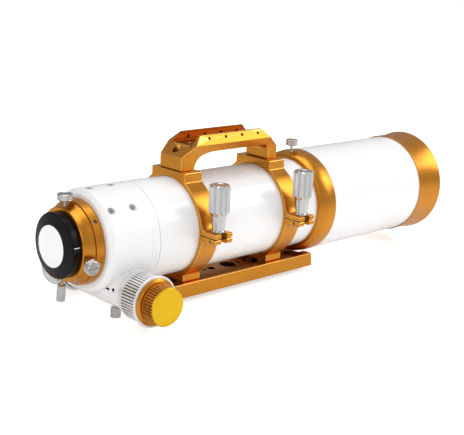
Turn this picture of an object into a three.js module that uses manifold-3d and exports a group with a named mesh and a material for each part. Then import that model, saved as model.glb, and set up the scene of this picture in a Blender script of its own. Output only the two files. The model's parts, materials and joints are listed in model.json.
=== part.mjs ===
// A 100 mm class refractor telescope: rack-and-pinion focuser, two hinged tube rings on a wide
// dovetail plate, a carry handle with an accessory channel, and a sliding dew shield.
// Millimetres, +Z up, +Y towards the sky. The origin is the centre of the plate's underside.
// Shapes are drawn in the optical frame: y = 0 at the rear ring's rear face, z = 0 on the axis.
import * as THREE from 'three';
import { mergeVertices } from 'three/addons/utils/BufferGeometryUtils.js';
import Module from 'manifold-3d';

const wasm = await Module();
wasm.setup();

// ---- driving dimensions ----
const AXIS_HEIGHT = 75.7;
const REAR_RING_TO_ORIGIN = 77.5;
const GAP = 0.3;

const TUBE_R = 54.2;
const TUBE_BORE_R = 52.4;
const TUBE_REAR = -28.3;
const TUBE_FRONT = 388;
const BODY_R = 55;
const BODY_REAR = -115.9;
const BODY_FRONT = -53;

const RING_BORE_R = TUBE_R + GAP;
const RING_OUTER_R = 58.7;
const RING_WIDTH = 25;
const RING_STARTS = { rear: 0, front: 129.9 };
const RING_MID = RING_WIDTH / 2;
const LUG_OUT = 81;
const LUG_TOP = 5.9;
const LUG_BOTTOM = -5.3;
const SPLIT = 0.8;
const BLOCK = { half: 28.2, top: 62.4, foot: 52.2, ringAngle: 50, bend: [32.5, 48.6], boltHoleR: 3.2 };
const FOOT = { half: 31, bottom: -59.9, top: -51.7, ringAngle: -48, bend: [35, -47] };
const LUG_FILLET = { upper: { start: 63.2, angle: 14 }, lower: { start: 66, angle: -16 } };
const HINGE = { x: -63, z: 0.4, r: 4, pinR: 1.6 };
const STUD = { x: 71, r: 2.9, slotHalf: 4 };
const CROSS_PIN = { x: 72, z: -2.8, r: 1.5 };

const PLATE_TOP = -60.2;
const PLATE_BOTTOM = -AXIS_HEIGHT;
const PLATE_REAR = -50;
const PLATE_FRONT = 205;
const CHANNEL = { half: 24, floor: -64.4 };
const PLATE_TOP_HALF = 36;
const PLATE_BOTTOM_HALF = 37.9;

const DRAW_R = 36;
const DRAW_BORE_R = 33;
const RACK_WIDTH = 9;
const RACK_BACK = -34.6;
const TOOTH_MODULE = 1;
const PINION_TEETH = 20;
const PINION_Y = -82;
const PINION_Z = -49.6;
const ADDENDUM = 0.7;
const DEDENDUM = 0.9;
const TOOTH_THINNING = 0.06;
const PRESSURE_ANGLE = 20;
const SHAFT = { r: 3, end: 79, holeR: 4, bushingR: 6, bushingStart: 35 };
const HOUSING = { r: 20.8, end: 50.3 };
const PINION_POCKET = { r: 11.4, half: 5 };
const RACK = { rear: -115.5, front: -8, firstTooth: -10, endTooth: 23 };
const DRAWTUBE_FRONT = -5;

const VISUAL_BACK_REAR = -138.6;
const BACK_SCREW_Y = -134.3;
const ADAPTER_REAR = -150.4;

const DEW_R = 63;
const DEW_BORE_R = 61.4;
const COLLAR_REAR = 188.7;
const COLLAR_FRONT = 213.5;
const DEW_FRONT = 423.8;
const DEW_LOCK_Y = 196;

// Facets per turn.
const WIDE = 32;
const KNOB = 22;
const SMALL = 12;
const TINY = 8;

// ---- materials ----
const finish = (color, roughness, metalness) =>
  new THREE.MeshStandardMaterial({ color, roughness, metalness });
const white = () => finish(0xf4f4f6, 0.25, 0);
const gold = () => finish(0xd9881c, 0.38, 0.9);
const brightGold = () => finish(0xf0b51c, 0.3, 0.9);
const steel = () => finish(0xb9b9bd, 0.3, 1);
const darkSteel = () => finish(0x4a4a4e, 0.4, 1);
const black = () => finish(0x1b1c1e, 0.45, 0.3);
const flatBlack = () => finish(0x101010, 0.95, 0);
const brass = () => finish(0xc8a24a, 0.35, 1);
const glass = () => new THREE.MeshStandardMaterial({
  color: 0xbfd8e8, roughness: 0.02, metalness: 0, transparent: true, opacity: 0.35 });
const plastic = () => finish(0xf8f8f8, 0.5, 0);
const felt = () => finish(0x202022, 1, 0);
const nylon = () => finish(0xe8e4d8, 0.6, 0);

// ---- geometry helpers ----
const AXIS = { x: new THREE.Vector3(1, 0, 0), y: new THREE.Vector3(0, 1, 0), z: new THREE.Vector3(0, 0, 1) };

function cleaned(geometry) {
  const bare = geometry.clone();
  bare.deleteAttribute('normal');
  bare.deleteAttribute('uv');
  const merged = mergeVertices(bare, 1e-4);
  const index = merged.index.array;
  const kept = [];
  for (let i = 0; i < index.length; i += 3) {
    const [a, b, c] = [index[i], index[i + 1], index[i + 2]];
    if (a !== b && b !== c && c !== a) kept.push(a, b, c);
  }
  if (signedVolume(merged.attributes.position, kept) < 0) kept.reverse();
  merged.setIndex(kept);
  return merged;
}

function signedVolume(position, index) {
  const [a, b, c] = [new THREE.Vector3(), new THREE.Vector3(), new THREE.Vector3()];
  let total = 0;
  for (let i = 0; i < index.length; i += 3) {
    a.fromBufferAttribute(position, index[i]);
    b.fromBufferAttribute(position, index[i + 1]);
    c.fromBufferAttribute(position, index[i + 2]);
    total += a.dot(b.cross(c));
  }
  return total;
}

function solidOf(geometry) {
  const shape = cleaned(geometry);
  return new wasm.Manifold(new wasm.Mesh({
    numProp: 3,
    vertProperties: new Float32Array(shape.attributes.position.array),
    triVerts: new Uint32Array(shape.index.array),
  }));
}

function geometryOf(solid) {
  const mesh = solid.getMesh();
  const geometry = new THREE.BufferGeometry();
  geometry.setAttribute('position', new THREE.BufferAttribute(new Float32Array(mesh.vertProperties), 3));
  geometry.setIndex(new THREE.BufferAttribute(new Uint32Array(mesh.triVerts), 1));
  geometry.computeVertexNormals();
  return geometry;
}

const joined = (...pieces) => geometryOf(pieces.map(solidOf).reduce((sum, next) => sum.add(next)));
const cut = (base, ...tools) => geometryOf(
  tools.map(solidOf).reduce((left, tool) => left.subtract(tool), solidOf(base)));
const common = (a, b) => geometryOf(solidOf(a).intersect(solidOf(b)));

// A profile of [radius, height] points turned about +Y. It closes on itself, or runs axis to axis.
function turned(profile, segments = WIDE) {
  const points = profile.map(([r, h]) => new THREE.Vector2(r, h));
  if (profile[0][0] > 0) points.push(points[0].clone());
  return cleaned(new THREE.LatheGeometry(points, segments));
}

function pointed(geometry, axis) {
  return geometry.applyQuaternion(new THREE.Quaternion().setFromUnitVectors(AXIS.y, axis));
}

const degrees = THREE.MathUtils.degToRad;

// The direction square to the optical axis at an angle from +X towards +Z.
const radial = (angle) => new THREE.Vector3(Math.cos(degrees(angle)), 0, Math.sin(degrees(angle)));

// A rod of radius r from height h0 to h1 along an axis direction through a point.
function rod(r, h0, h1, axis, through = [0, 0, 0], segments = SMALL) {
  const body = new THREE.CylinderGeometry(r, r, h1 - h0, segments).translate(0, (h0 + h1) / 2, 0);
  return pointed(body, axis).translate(...through);
}

function tube(innerR, outerR, y0, y1, segments = WIDE) {
  return turned([[innerR, y0], [outerR, y0], [outerR, y1], [innerR, y1]], segments);
}

function box(x0, x1, y0, y1, z0, z1) {
  const body = new THREE.BoxGeometry(x1 - x0, y1 - y0, z1 - z0);
  return body.translate((x0 + x1) / 2, (y0 + y1) / 2, (z0 + z1) / 2);
}

const extrude = (shape, depth, curveSegments = 12) =>
  new THREE.ExtrudeGeometry(shape, { depth, bevelEnabled: false, curveSegments });

// A shape drawn in (x, z), swept along y.
const sweptY = (shape, y0, y1, curveSegments) =>
  extrude(shape, y1 - y0, curveSegments).rotateX(Math.PI / 2).translate(0, y1, 0);

// A shape drawn in (y, z), swept along x.
const sweptX = (shape, x0, x1, curveSegments) =>
  extrude(shape, x1 - x0, curveSegments)
    .applyMatrix4(new THREE.Matrix4().makeBasis(AXIS.y, AXIS.z, AXIS.x))
    .translate(x0, 0, 0);

function outline(points) {
  return new THREE.Shape(points.map(([a, b]) => new THREE.Vector2(a, b)));
}

const turnedAt = (profile, axis, through, segments = SMALL) =>
  pointed(turned(profile, segments), axis).translate(...through);

// ---- the model ----
const telescope = new THREE.Group();
telescope.position.set(0, -REAR_RING_TO_ORIGIN, AXIS_HEIGHT);

function add(name, geometry, material) {
  const mesh = new THREE.Mesh(cleaned(geometry), material);
  mesh.name = name;
  telescope.add(mesh);
}

// ---- dovetail plate ----
const FOOT_BOLT = { r: 3.8, headR: 5.8, headTop: -69.2, tip: -55.6 };

function dovetailPlate() {
  const section = outline([
    [-PLATE_BOTTOM_HALF, PLATE_BOTTOM], [PLATE_BOTTOM_HALF, PLATE_BOTTOM],
    [PLATE_TOP_HALF, PLATE_TOP], [CHANNEL.half, PLATE_TOP], [CHANNEL.half, CHANNEL.floor],
    [-CHANNEL.half, CHANNEL.floor], [-CHANNEL.half, PLATE_TOP], [-PLATE_TOP_HALF, PLATE_TOP]]);
  const holes = [[60, 2.5], [70.5, 4.8], [97.5, 10], [113.5, 3.2], [125, 3.6], [172, 3.6], [186, 3.6]];
  const through = holes.map(([y, r]) => rod(r, -80, -55, AXIS.z, [0, y, 0]));
  const bolts = Object.values(RING_STARTS).flatMap((y) => [
    rod(FOOT_BOLT.r + GAP, -80, -55, AXIS.z, [0, y + RING_MID, 0]),
    rod(FOOT_BOLT.headR + GAP, -80, FOOT_BOLT.headTop + GAP, AXIS.z, [0, y + RING_MID, 0])]);
  return cut(sweptY(section, PLATE_REAR, PLATE_FRONT), ...through, ...bolts);
}

// A socket-head screw along +axis, its head at the start, drawn from the socket's floor.
function socketScrew(shankR, headR, headLow, headTop, tip, axis, through, segments = TINY) {
  const socketR = headR * 0.55;
  const socket = Math.min(3, (headTop - headLow) * 0.6);
  return turnedAt([
    [0, headLow + socket], [socketR, headLow + socket], [socketR, headLow], [headR, headLow],
    [headR, headTop], [shankR, headTop], [shankR, tip], [0, tip]], axis, through, segments);
}

// ---- tube rings ----
// The outlines run inside the bore, which is cut out afterwards.
const SHELL_INSIDE = 50;

const onRing = (angle) => [RING_OUTER_R * Math.cos(degrees(angle)), RING_OUTER_R * Math.sin(degrees(angle))];

function upperRingShape() {
  const { start, angle } = LUG_FILLET.upper;
  const [bendX, bendZ] = BLOCK.bend;
  const shape = new THREE.Shape();
  shape.moveTo(SHELL_INSIDE, SPLIT);
  shape.lineTo(LUG_OUT, SPLIT);
  shape.lineTo(LUG_OUT, LUG_TOP);
  shape.lineTo(start, LUG_TOP);
  shape.quadraticCurveTo(59.5, LUG_TOP + 0.3, ...onRing(angle));
  shape.absarc(0, 0, RING_OUTER_R, degrees(angle), degrees(BLOCK.ringAngle), false);
  shape.quadraticCurveTo(bendX, bendZ, BLOCK.half, BLOCK.foot);
  shape.lineTo(BLOCK.half, BLOCK.top);
  shape.lineTo(-BLOCK.half, BLOCK.top);
  shape.lineTo(-BLOCK.half, BLOCK.foot);
  shape.quadraticCurveTo(-bendX, bendZ, ...onRing(180 - BLOCK.ringAngle));
  shape.absarc(0, 0, RING_OUTER_R, degrees(180 - BLOCK.ringAngle), degrees(179.2), false);
  shape.lineTo(-SHELL_INSIDE, SPLIT);
  return shape;
}

function lowerRingShape() {
  const { start, angle } = LUG_FILLET.lower;
  const [bendX, bendZ] = FOOT.bend;
  const shape = new THREE.Shape();
  shape.moveTo(SHELL_INSIDE, 0);
  shape.lineTo(LUG_OUT, 0);
  shape.lineTo(LUG_OUT, LUG_BOTTOM);
  shape.lineTo(start, LUG_BOTTOM);
  shape.quadraticCurveTo(60.5, LUG_BOTTOM - 0.6, ...onRing(angle));
  shape.absarc(0, 0, RING_OUTER_R, degrees(angle), degrees(FOOT.ringAngle), true);
  shape.quadraticCurveTo(bendX, bendZ, FOOT.half, FOOT.top);
  shape.lineTo(FOOT.half, FOOT.bottom);
  shape.lineTo(-FOOT.half, FOOT.bottom);
  shape.lineTo(-FOOT.half, FOOT.top);
  shape.quadraticCurveTo(-bendX, bendZ, ...onRing(-180 - FOOT.ringAngle));
  shape.absarc(0, 0, RING_OUTER_R, degrees(-180 - FOOT.ringAngle), degrees(-180), true);
  shape.lineTo(-SHELL_INSIDE, 0);
  return shape;
}

const ringBore = (y) => rod(RING_BORE_R, y - 1, y + RING_WIDTH + 1, AXIS.y, [0, 0, 0], WIDE);
const studSlot = (y) => box(63, 84, y + RING_MID - STUD.slotHalf, y + RING_MID + STUD.slotHalf, -7, 8);

function knuckle(y0, y1, webLow, webHigh) {
  const barrel = rod(HINGE.r, y0, y1, AXIS.y, [HINGE.x, 0, HINGE.z]);
  return [barrel, box(HINGE.x, -56, y0, y1, webLow, webHigh)];
}

const hingeHole = (y) =>
  rod(HINGE.pinR + GAP, y - 1, y + RING_WIDTH + 1, AXIS.y, [HINGE.x, 0, HINGE.z], TINY);

function upperRing(y) {
  const body = sweptY(upperRingShape(), y, y + RING_WIDTH, 6);
  const middle = knuckle(y + 8.4, y + 16.6, SPLIT, 5);
  const boltHole = rod(BLOCK.boltHoleR, 50, 70, AXIS.z, [0, y + RING_MID, 0]);
  return cut(joined(body, ...middle), ringBore(y), hingeHole(y), studSlot(y), boltHole);
}

function lowerRing(y) {
  const body = sweptY(lowerRingShape(), y, y + RING_WIDTH, 6);
  const ears = [...knuckle(y, y + 8.1, -5, 0), ...knuckle(y + 16.9, y + RING_WIDTH, -5, 0)];
  const pinHole = rod(CROSS_PIN.r + GAP, y - 1, y + RING_WIDTH + 1, AXIS.y,
    [CROSS_PIN.x, 0, CROSS_PIN.z], TINY);
  const boltHole = rod(FOOT_BOLT.r + GAP, -70, -50, AXIS.z, [0, y + RING_MID, 0]);
  return cut(joined(body, ...ears), ringBore(y), hingeHole(y), studSlot(y), pinHole, boltHole);
}

// The clamp nut and its stud, turned about z.
function ringThumbscrew(y) {
  return turnedAt([
    [0, -0.9], [STUD.r, -0.9], [STUD.r, 6.2], [7.3, 6.2], [6.7, 9.6], [6.7, 23],
    [11.4, 28.6], [11.4, 56.6], [10, 58], [0, 58]],
    AXIS.z, [STUD.x, y + RING_MID, 0], 16);
}

// ---- carry handle ----
const HANDLE = {
  base: 62.7, shoulder: 77.6, waist: 89.6, top: 99.8, rear: 3, front: 151,
  topRear: 30.5, topFront: 124, waistRear: 19.4, waistFront: 134.4, footRear: 22.4, footFront: 135.7,
  arch: 80.6, footHalf: 18, waistHalf: 24.4, topHalf: 17,
};
// The accessory channel: its walls lean in, and a relief groove runs along each edge of the floor.
const SHOE = { floor: 89, floorHalf: 14, grooveFloor: 88.4, grooveHalf: 17, mouthHalf: 14.4 };
const TAPPED = { r: 1.7, x: 19.7, z: 96, rear: 41.3, spacing: 24.9, lean: 36 };
const HANDLE_BOLTS = { rear: RING_MID, front: RING_STARTS.front + RING_MID };

function handleSide() {
  const shape = new THREE.Shape();
  shape.moveTo(HANDLE.rear, HANDLE.base);
  shape.lineTo(HANDLE.rear, HANDLE.shoulder);
  shape.lineTo(HANDLE.waistRear, HANDLE.waist);
  shape.lineTo(HANDLE.topRear, HANDLE.top);
  shape.lineTo(HANDLE.topFront, HANDLE.top);
  shape.lineTo(HANDLE.waistFront, HANDLE.waist);
  shape.lineTo(HANDLE.front, HANDLE.shoulder);
  shape.lineTo(HANDLE.front, HANDLE.base);
  shape.lineTo(HANDLE.footFront, HANDLE.base);
  shape.lineTo(HANDLE.footFront, 72);
  shape.quadraticCurveTo(135.4, 80.4, 126, HANDLE.arch);
  shape.lineTo(50, HANDLE.arch);
  shape.quadraticCurveTo(24, 79, HANDLE.footRear, HANDLE.base);
  return shape;
}

function handleSection() {
  const half = [
    [HANDLE.footHalf, HANDLE.base], [HANDLE.footHalf, HANDLE.shoulder], [HANDLE.waistHalf, HANDLE.waist],
    [HANDLE.topHalf, HANDLE.top], [SHOE.mouthHalf, HANDLE.top], [SHOE.grooveHalf, SHOE.grooveFloor],
    [SHOE.floorHalf, SHOE.grooveFloor], [SHOE.floorHalf, SHOE.floor]];
  const mirrored = half.map(([x, z]) => [-x, z]).reverse();
  return outline([...half, ...mirrored]);
}

function carryHandle() {
  const bar = common(sweptX(handleSide(), -25, 25, 6), sweptY(handleSection(), 0, 155));
  const tapped = [TAPPED.lean, 180 - TAPPED.lean].flatMap((angle) => [0, 1, 2, 3].map((i) => {
    const through = [Math.sign(90 - angle) * TAPPED.x, TAPPED.rear + i * TAPPED.spacing, TAPPED.z];
    return rod(TAPPED.r, -5, 6, radial(angle), through, TINY);
  }));
  const bolts = Object.values(HANDLE_BOLTS).flatMap((y) => [
    rod(3.2, 60, 80, AXIS.z, [0, y, 0]), rod(5.4, 72, 95, AXIS.z, [0, y, 0])]);
  const shoeHoles = [30, 125].map((y) => rod(TAPPED.r, 78, 92, AXIS.z, [0, y, 0], TINY));
  return cut(bar, ...tapped, ...bolts, ...shoeHoles);
}

// ---- focuser ----
const BEARING_PADS = { left: 135, top: 90, right: 45 };
const PAD_SCREW_Y = { rear: -105, front: -78 };

function bodyShell() {
  return turned([
    [DRAW_R + 0.4, BODY_REAR], [50, BODY_REAR], [BODY_R, -111.6], [BODY_R, BODY_FRONT],
    [DRAW_R + 0.4, BODY_FRONT], [DRAW_R + 0.4, -60], [46, -66], [46, -108], [DRAW_R + 0.4, -110]]);
}

const pinionPocket = () =>
  rod(PINION_POCKET.r, -PINION_POCKET.half, PINION_POCKET.half, AXIS.x, [0, PINION_Y, PINION_Z], 20);

function focuserBody() {
  const rackSlot = box(-5, 5, BODY_REAR - 1, BODY_FRONT + 1, -40.9, -34);
  const shaftHole = rod(SHAFT.holeR, -70, 70, AXIS.x, [0, PINION_Y, PINION_Z]);
  const support = common(
    rod(12, -40, 40, AXIS.x, [0, PINION_Y, PINION_Z], 20),
    tube(DRAW_R + 0.4, 50, -110, -60));
  const screws = Object.values(BEARING_PADS).flatMap((angle) => Object.values(PAD_SCREW_Y)
    .flatMap((y) => [
      rod(4.1, 50.7, 60, radial(angle), [0, y, 0], TINY),
      rod(2.2, 40, 60, radial(angle), [0, y, 0], TINY)]));
  return cut(joined(bodyShell(), support), rackSlot, pinionPocket(), shaftHole, ...screws);
}

function padScrew(angle, y) {
  return socketScrew(1.9, 3.7, -54.4, -51, -39.9, radial(angle).negate(), [0, y, 0], TINY);
}

function bearingPad(angle) {
  const pad = box(36.5, 39.6, -107, -68, -4.5, 4.5);
  return pad.rotateY(-degrees(angle));
}

const HOUSING_SCREWS = { inner: 34, outer: 40.3 };
const SET_SCREW = { r: 1.7, holeR: 2, tip: 13, top: 20.4, socketR: 0.95, socketFloor: 18.9 };
const LOCK_SCREW = { x: 26.2, y: -88.1, tip: -55, headR: 5.5, headLow: 70.6, headTop: 81.4 };
const setScrewAxis = new THREE.Vector3(0, -0.975, 0.22).normalize();

function pinionHousing() {
  const pinionAxis = [0, PINION_Y, PINION_Z];
  const round = rod(HOUSING.r, -HOUSING.end, HOUSING.end, AXIS.x, pinionAxis, KNOB);
  const lockHole = rod(2.3, -74, -50, AXIS.z, [LOCK_SCREW.x, LOCK_SCREW.y, 0], TINY);
  const shaftHole = rod(SHAFT.bushingR + GAP, -70, 70, AXIS.x, pinionAxis);
  const screwHoles = Object.values(HOUSING_SCREWS).map((x) =>
    rod(SET_SCREW.holeR, SET_SCREW.tip - 1, 24, setScrewAxis, [x, PINION_Y, PINION_Z], TINY));
  return cut(round, rod(BODY_R + GAP, -130, -50, AXIS.y, [0, 0, 0], WIDE), shaftHole, lockHole,
    pinionPocket(), ...screwHoles);
}

function pinionOutline() {
  const pitchR = TOOTH_MODULE * PINION_TEETH / 2;
  const baseR = pitchR * Math.cos(degrees(PRESSURE_ANGLE));
  const involute = (r) => {
    const pressure = Math.acos(Math.min(1, baseR / r));
    return Math.tan(pressure) - pressure;
  };
  const halfAtPitch = Math.PI / (2 * PINION_TEETH) - TOOTH_THINNING / pitchR;
  const halfAngle = (r) => halfAtPitch + involute(pitchR) - involute(Math.max(r, baseR));
  const radii = [pitchR - DEDENDUM, baseR, pitchR, pitchR + ADDENDUM / 2, pitchR + ADDENDUM];
  const points = [];
  for (let tooth = 0; tooth < PINION_TEETH; tooth += 1) {
    const middle = Math.PI / 2 + tooth * 2 * Math.PI / PINION_TEETH;
    for (const r of radii) points.push([r, middle - halfAngle(r)]);
    for (const r of [...radii].reverse()) points.push([r, middle + halfAngle(r)]);
  }
  return outline(points.map(([r, a]) => [PINION_Y + r * Math.cos(a), PINION_Z + r * Math.sin(a)]));
}

function pinionShaft() {
  return joined(
    rod(SHAFT.r, -SHAFT.end, SHAFT.end, AXIS.x, [0, PINION_Y, PINION_Z]),
    sweptX(pinionOutline(), -4, 4));
}

function rack() {
  const pitchLine = PINION_Z + TOOTH_MODULE * PINION_TEETH / 2;
  const pitch = Math.PI * TOOTH_MODULE;
  const lean = Math.tan(degrees(PRESSURE_ANGLE));
  const half = pitch / 4 - TOOTH_THINNING;
  const [rootZ, tipZ] = [pitchLine + DEDENDUM, pitchLine - ADDENDUM];
  const points = [[RACK.front, RACK_BACK], [RACK.rear, RACK_BACK], [RACK.rear, rootZ]];
  for (let tooth = RACK.firstTooth; tooth < RACK.endTooth; tooth += 1) {
    const y = PINION_Y + (tooth + 0.5) * pitch;
    points.push([y - half - DEDENDUM * lean, rootZ], [y - half + ADDENDUM * lean, tipZ]);
    points.push([y + half - ADDENDUM * lean, tipZ], [y + half + DEDENDUM * lean, rootZ]);
  }
  points.push([RACK.front, rootZ]);
  return sweptX(outline(points), -RACK_WIDTH / 2, RACK_WIDTH / 2);
}

function drawtube() {
  const wall = tube(DRAW_BORE_R, DRAW_R, -126, DRAWTUBE_FRONT);
  return cut(wall, box(-4.8, 4.8, RACK.rear - 0.5, RACK.front + 0.5, -38, -34.3));
}

function flange() {
  return turned([
    [DRAW_R + GAP, -126.2], [44.4, -126.2], [45.5, -117.2], [45, -116.3], [DRAW_R + GAP, -116.3]]);
}

function visualBack() {
  const body = turned([
    [25.6, VISUAL_BACK_REAR], [38.2, VISUAL_BACK_REAR], [38.9, -137.8], [40, -133.2],
    [43.2, -127.4], [43.2, -126.6], [32.6, -126.6], [32.6, -116.5], [25.6, -116.5],
    [25.6, -131], [27.2, -131], [27.2, -137.2], [25.6, -137.2]]);
  const holes = Object.values(BACK_SCREWS).map(({ angle }) =>
    rod(1.9, 20, 45, radial(angle), [0, BACK_SCREW_Y, 0], TINY));
  return cut(body, ...holes);
}

function compressionRing() {
  const band = tube(25.65, 26.9, -136.8, -131.4);
  return cut(band, box(-1.5, 1.5, -140, -130, 20, 30));
}

const BACK_SCREWS = {
  top: { angle: 90, headR: 8, headLow: 46.3, headTop: 53 },
  side: { angle: -15, headR: 8, headLow: 46.3, headTop: 53 },
  bottom: { angle: -97, headR: 4.6, headLow: 45.8, headTop: 64 },
};

function thumbscrew(stemR, tip, headR, headLow, headTop, axis, through) {
  return turnedAt([
    [0, tip], [stemR, tip], [stemR, headLow], [headR - 0.6, headLow], [headR, headLow + 0.6],
    [headR, headTop - 0.6], [headR - 0.6, headTop], [0, headTop]], axis, through, SMALL);
}

function adapter() {
  return turned([
    [16.2, ADAPTER_REAR], [22.6, ADAPTER_REAR], [33.6, -148.2], [34.7, -147.2], [34.7, -139.4],
    [34.2, -138.9], [25.3, -138.9], [25.3, -113.2], [16.2, -113.2]]);
}

function dustPlug() {
  return turned([
    [0, -152], [21.3, -152], [21.9, -151.5], [21.9, ADAPTER_REAR - GAP], [15.9, ADAPTER_REAR - GAP],
    [15.9, -130], [13.8, -130], [13.8, -148.5], [0, -148.5]], KNOB);
}

// ---- focus knobs ----
function coarseKnobRight() {
  return turnedAt([
    [3.3, 50.6], [24.4, 50.6], [25.4, 51.6], [25.4, 77], [27.4, 78.5], [27.4, 83.1], [26.6, 84.1],
    [21.7, 84.1], [21.7, 63], [8, 63], [8, 79], [3.3, 79]], AXIS.x, [0, PINION_Y, PINION_Z], KNOB);
}

function coarseKnobLeft() {
  return turnedAt([
    [0, 84.1], [26.6, 84.1], [27.4, 83.1], [27.4, 78.5], [25.4, 77], [25.4, 51.6], [24.4, 50.6],
    [21.7, 50.6], [21.7, 79], [8, 79], [8, 51.6], [3.3, 51.6], [3.3, 80], [0, 80]],
    AXIS.x.clone().negate(), [0, PINION_Y, PINION_Z], KNOB);
}

function reducerCap() {
  return turnedAt([
    [4, 80], [21.4, 80], [21.4, 84.4], [25, 84.4], [25, 84.9], [21.8, 86.9], [4, 86.9]],
    AXIS.x, [0, PINION_Y, PINION_Z], KNOB);
}

function fineKnob() {
  return turnedAt([
    [0, 79.4], [2.6, 79.4], [2.6, 87.2], [19.9, 87.2], [20.7, 88], [20.7, 103], [19.9, 104.2],
    [0, 104.2]], AXIS.x, [0, PINION_Y, PINION_Z], KNOB);
}

function bushing(x0, x1) {
  const [inner, outer] = [SHAFT.r + GAP, SHAFT.bushingR];
  return turnedAt([[inner, x0], [outer, x0], [outer, x1], [inner, x1]], AXIS.x, [0, PINION_Y, PINION_Z]);
}

function setScrew(x) {
  const { r, tip, top, socketR, socketFloor } = SET_SCREW;
  return turnedAt([[0, tip], [r, tip], [r, top], [socketR, top], [socketR, socketFloor], [0, socketFloor]],
    setScrewAxis, [x, PINION_Y, PINION_Z], TINY);
}

// ---- tube, lens and dew shield ----
function tailAdapter() {
  return turned([
    [46, -52.7], [BODY_R, -52.7], [BODY_R, -28.6], [TUBE_BORE_R - GAP, -28.6],
    [TUBE_BORE_R - GAP, -8], [48, -8], [48, -22], [46, -26]]);
}

function lensCell() {
  return turned([
    [48.5, 372], [TUBE_BORE_R - GAP, 372], [TUBE_BORE_R - GAP, TUBE_FRONT + GAP], [59.5, TUBE_FRONT + GAP],
    [59.5, 413], [58.5, 414], [51.3, 414], [51.3, 394], [48.5, 394]]);
}

// A lens between a rear and a front rim height, bulging by the given sagittas.
function lens(rimRear, rimFront, bulgeRear, bulgeFront) {
  const r = 50.9;
  const steps = [0, 0.5, 0.8, 1];
  const rear = steps.map((s) => [r * s, rimRear - bulgeRear * (1 - s * s)]);
  const front = [...steps].reverse().map((s) => [r * s, rimFront + bulgeFront * (1 - s * s)]);
  return turned([...rear, ...front]);
}

function collar() {
  const [midY, midR, steps] = [206.5, 55.6, 4];
  const profile = [[TUBE_R + 0.4, COLLAR_REAR]];
  for (let i = 0; i <= steps; i += 1) {
    const a = Math.PI / 2 * i / steps;
    profile.push([midR + 8.1 * Math.sin(a), midY - (midY - COLLAR_REAR) * Math.cos(a)]);
  }
  profile.push([63.5, COLLAR_FRONT], [DEW_BORE_R - GAP, COLLAR_FRONT], [DEW_BORE_R - GAP, 222]);
  profile.push([59.2, 222], [59.2, 201.2], [56.2, 201.2], [56.2, 190.8], [TUBE_R + 0.4, 190.8]);
  return cut(turned(profile), rod(1.9, 50, 70, AXIS.z, [0, DEW_LOCK_Y, 0], TINY));
}

function dewFrontRing() {
  return turned([
    [DEW_R + GAP, 381.3], [64.4, 381.3], [64.2, 398], [64.8, 413], [66.3, 422.6], [66.3, DEW_FRONT],
    [61.6, DEW_FRONT], [61.6, 421.1], [DEW_R + GAP, 421.1]]);
}

// ---- assembly ----
add('dovetail_plate', dovetailPlate(), gold());
for (const [side, y] of Object.entries(RING_STARTS)) {
  add(`${side}_ring_foot_bolt`, socketScrew(FOOT_BOLT.r, FOOT_BOLT.headR, -75.3, FOOT_BOLT.headTop,
    FOOT_BOLT.tip, AXIS.z, [0, y + RING_MID, 0]), darkSteel());
  add(`${side}_ring_lower`, lowerRing(y), gold());
  add(`${side}_ring_upper`, upperRing(y), gold());
  add(`${side}_ring_hinge_pin`, rod(HINGE.pinR, y + 0.5, y + RING_WIDTH - 0.5, AXIS.y,
    [HINGE.x, 0, HINGE.z], TINY), steel());
  add(`${side}_ring_cross_pin`, rod(CROSS_PIN.r, y + 1.2, y + RING_WIDTH - 1.2, AXIS.y,
    [CROSS_PIN.x, 0, CROSS_PIN.z], 8), darkSteel());
  add(`${side}_ring_thumbscrew`, ringThumbscrew(y), steel());
  add(`${side}_handle_bolt`, socketScrew(2.9, 4.9, -77.6, -72.3, -56, AXIS.z.clone().negate(),
    [0, y + RING_MID, 0]), darkSteel());
}
add('carry_handle', carryHandle(), gold());

add('main_tube', tube(TUBE_BORE_R, TUBE_R, TUBE_REAR, TUBE_FRONT), white());
add('tail_adapter', tailAdapter(), white());
add('tube_baffle', tube(41, TUBE_BORE_R - GAP, 199, 200.5), flatBlack());
add('lens_cell', lensCell(), black());
add('objective_flint', lens(394.3, 402.6, 0.5, -3.3), glass());
add('lens_spacer', tube(49.4, 50.8, 402.9, 403.5), black());
add('objective_crown', lens(403.8, 408.5, 3.2, 3), glass());
add('lens_retaining_ring', tube(49.2, 51, 408.8, 413.6), black());

add('focuser_body', focuserBody(), white());
for (const [side, angle] of Object.entries(BEARING_PADS)) {
  add(`${side}_guide_pad`, bearingPad(angle), nylon());
  for (const [end, y] of Object.entries(PAD_SCREW_Y)) {
    add(`${side}_${end}_pad_screw`, padScrew(angle, y), darkSteel());
  }
}
add('pinion_housing', pinionHousing(), white());
for (const [place, x] of Object.entries(HOUSING_SCREWS)) {
  add(`${place}_housing_screw`, setScrew(x), darkSteel());
}
add('left_pinion_bushing', bushing(-HOUSING.end, -SHAFT.bushingStart), brass());
add('right_pinion_bushing', bushing(SHAFT.bushingStart, HOUSING.end), brass());
add('pinion_shaft', pinionShaft(), steel());
add('left_coarse_knob', coarseKnobLeft(), white());
add('right_coarse_knob', coarseKnobRight(), white());
add('reducer_cap', reducerCap(), gold());
add('fine_knob', fineKnob(), brightGold());
add('focus_lock_screw', thumbscrew(2, -LOCK_SCREW.tip, LOCK_SCREW.headR, LOCK_SCREW.headLow,
  LOCK_SCREW.headTop, AXIS.z.clone().negate(),
  [LOCK_SCREW.x, LOCK_SCREW.y, 0]), steel());

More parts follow.
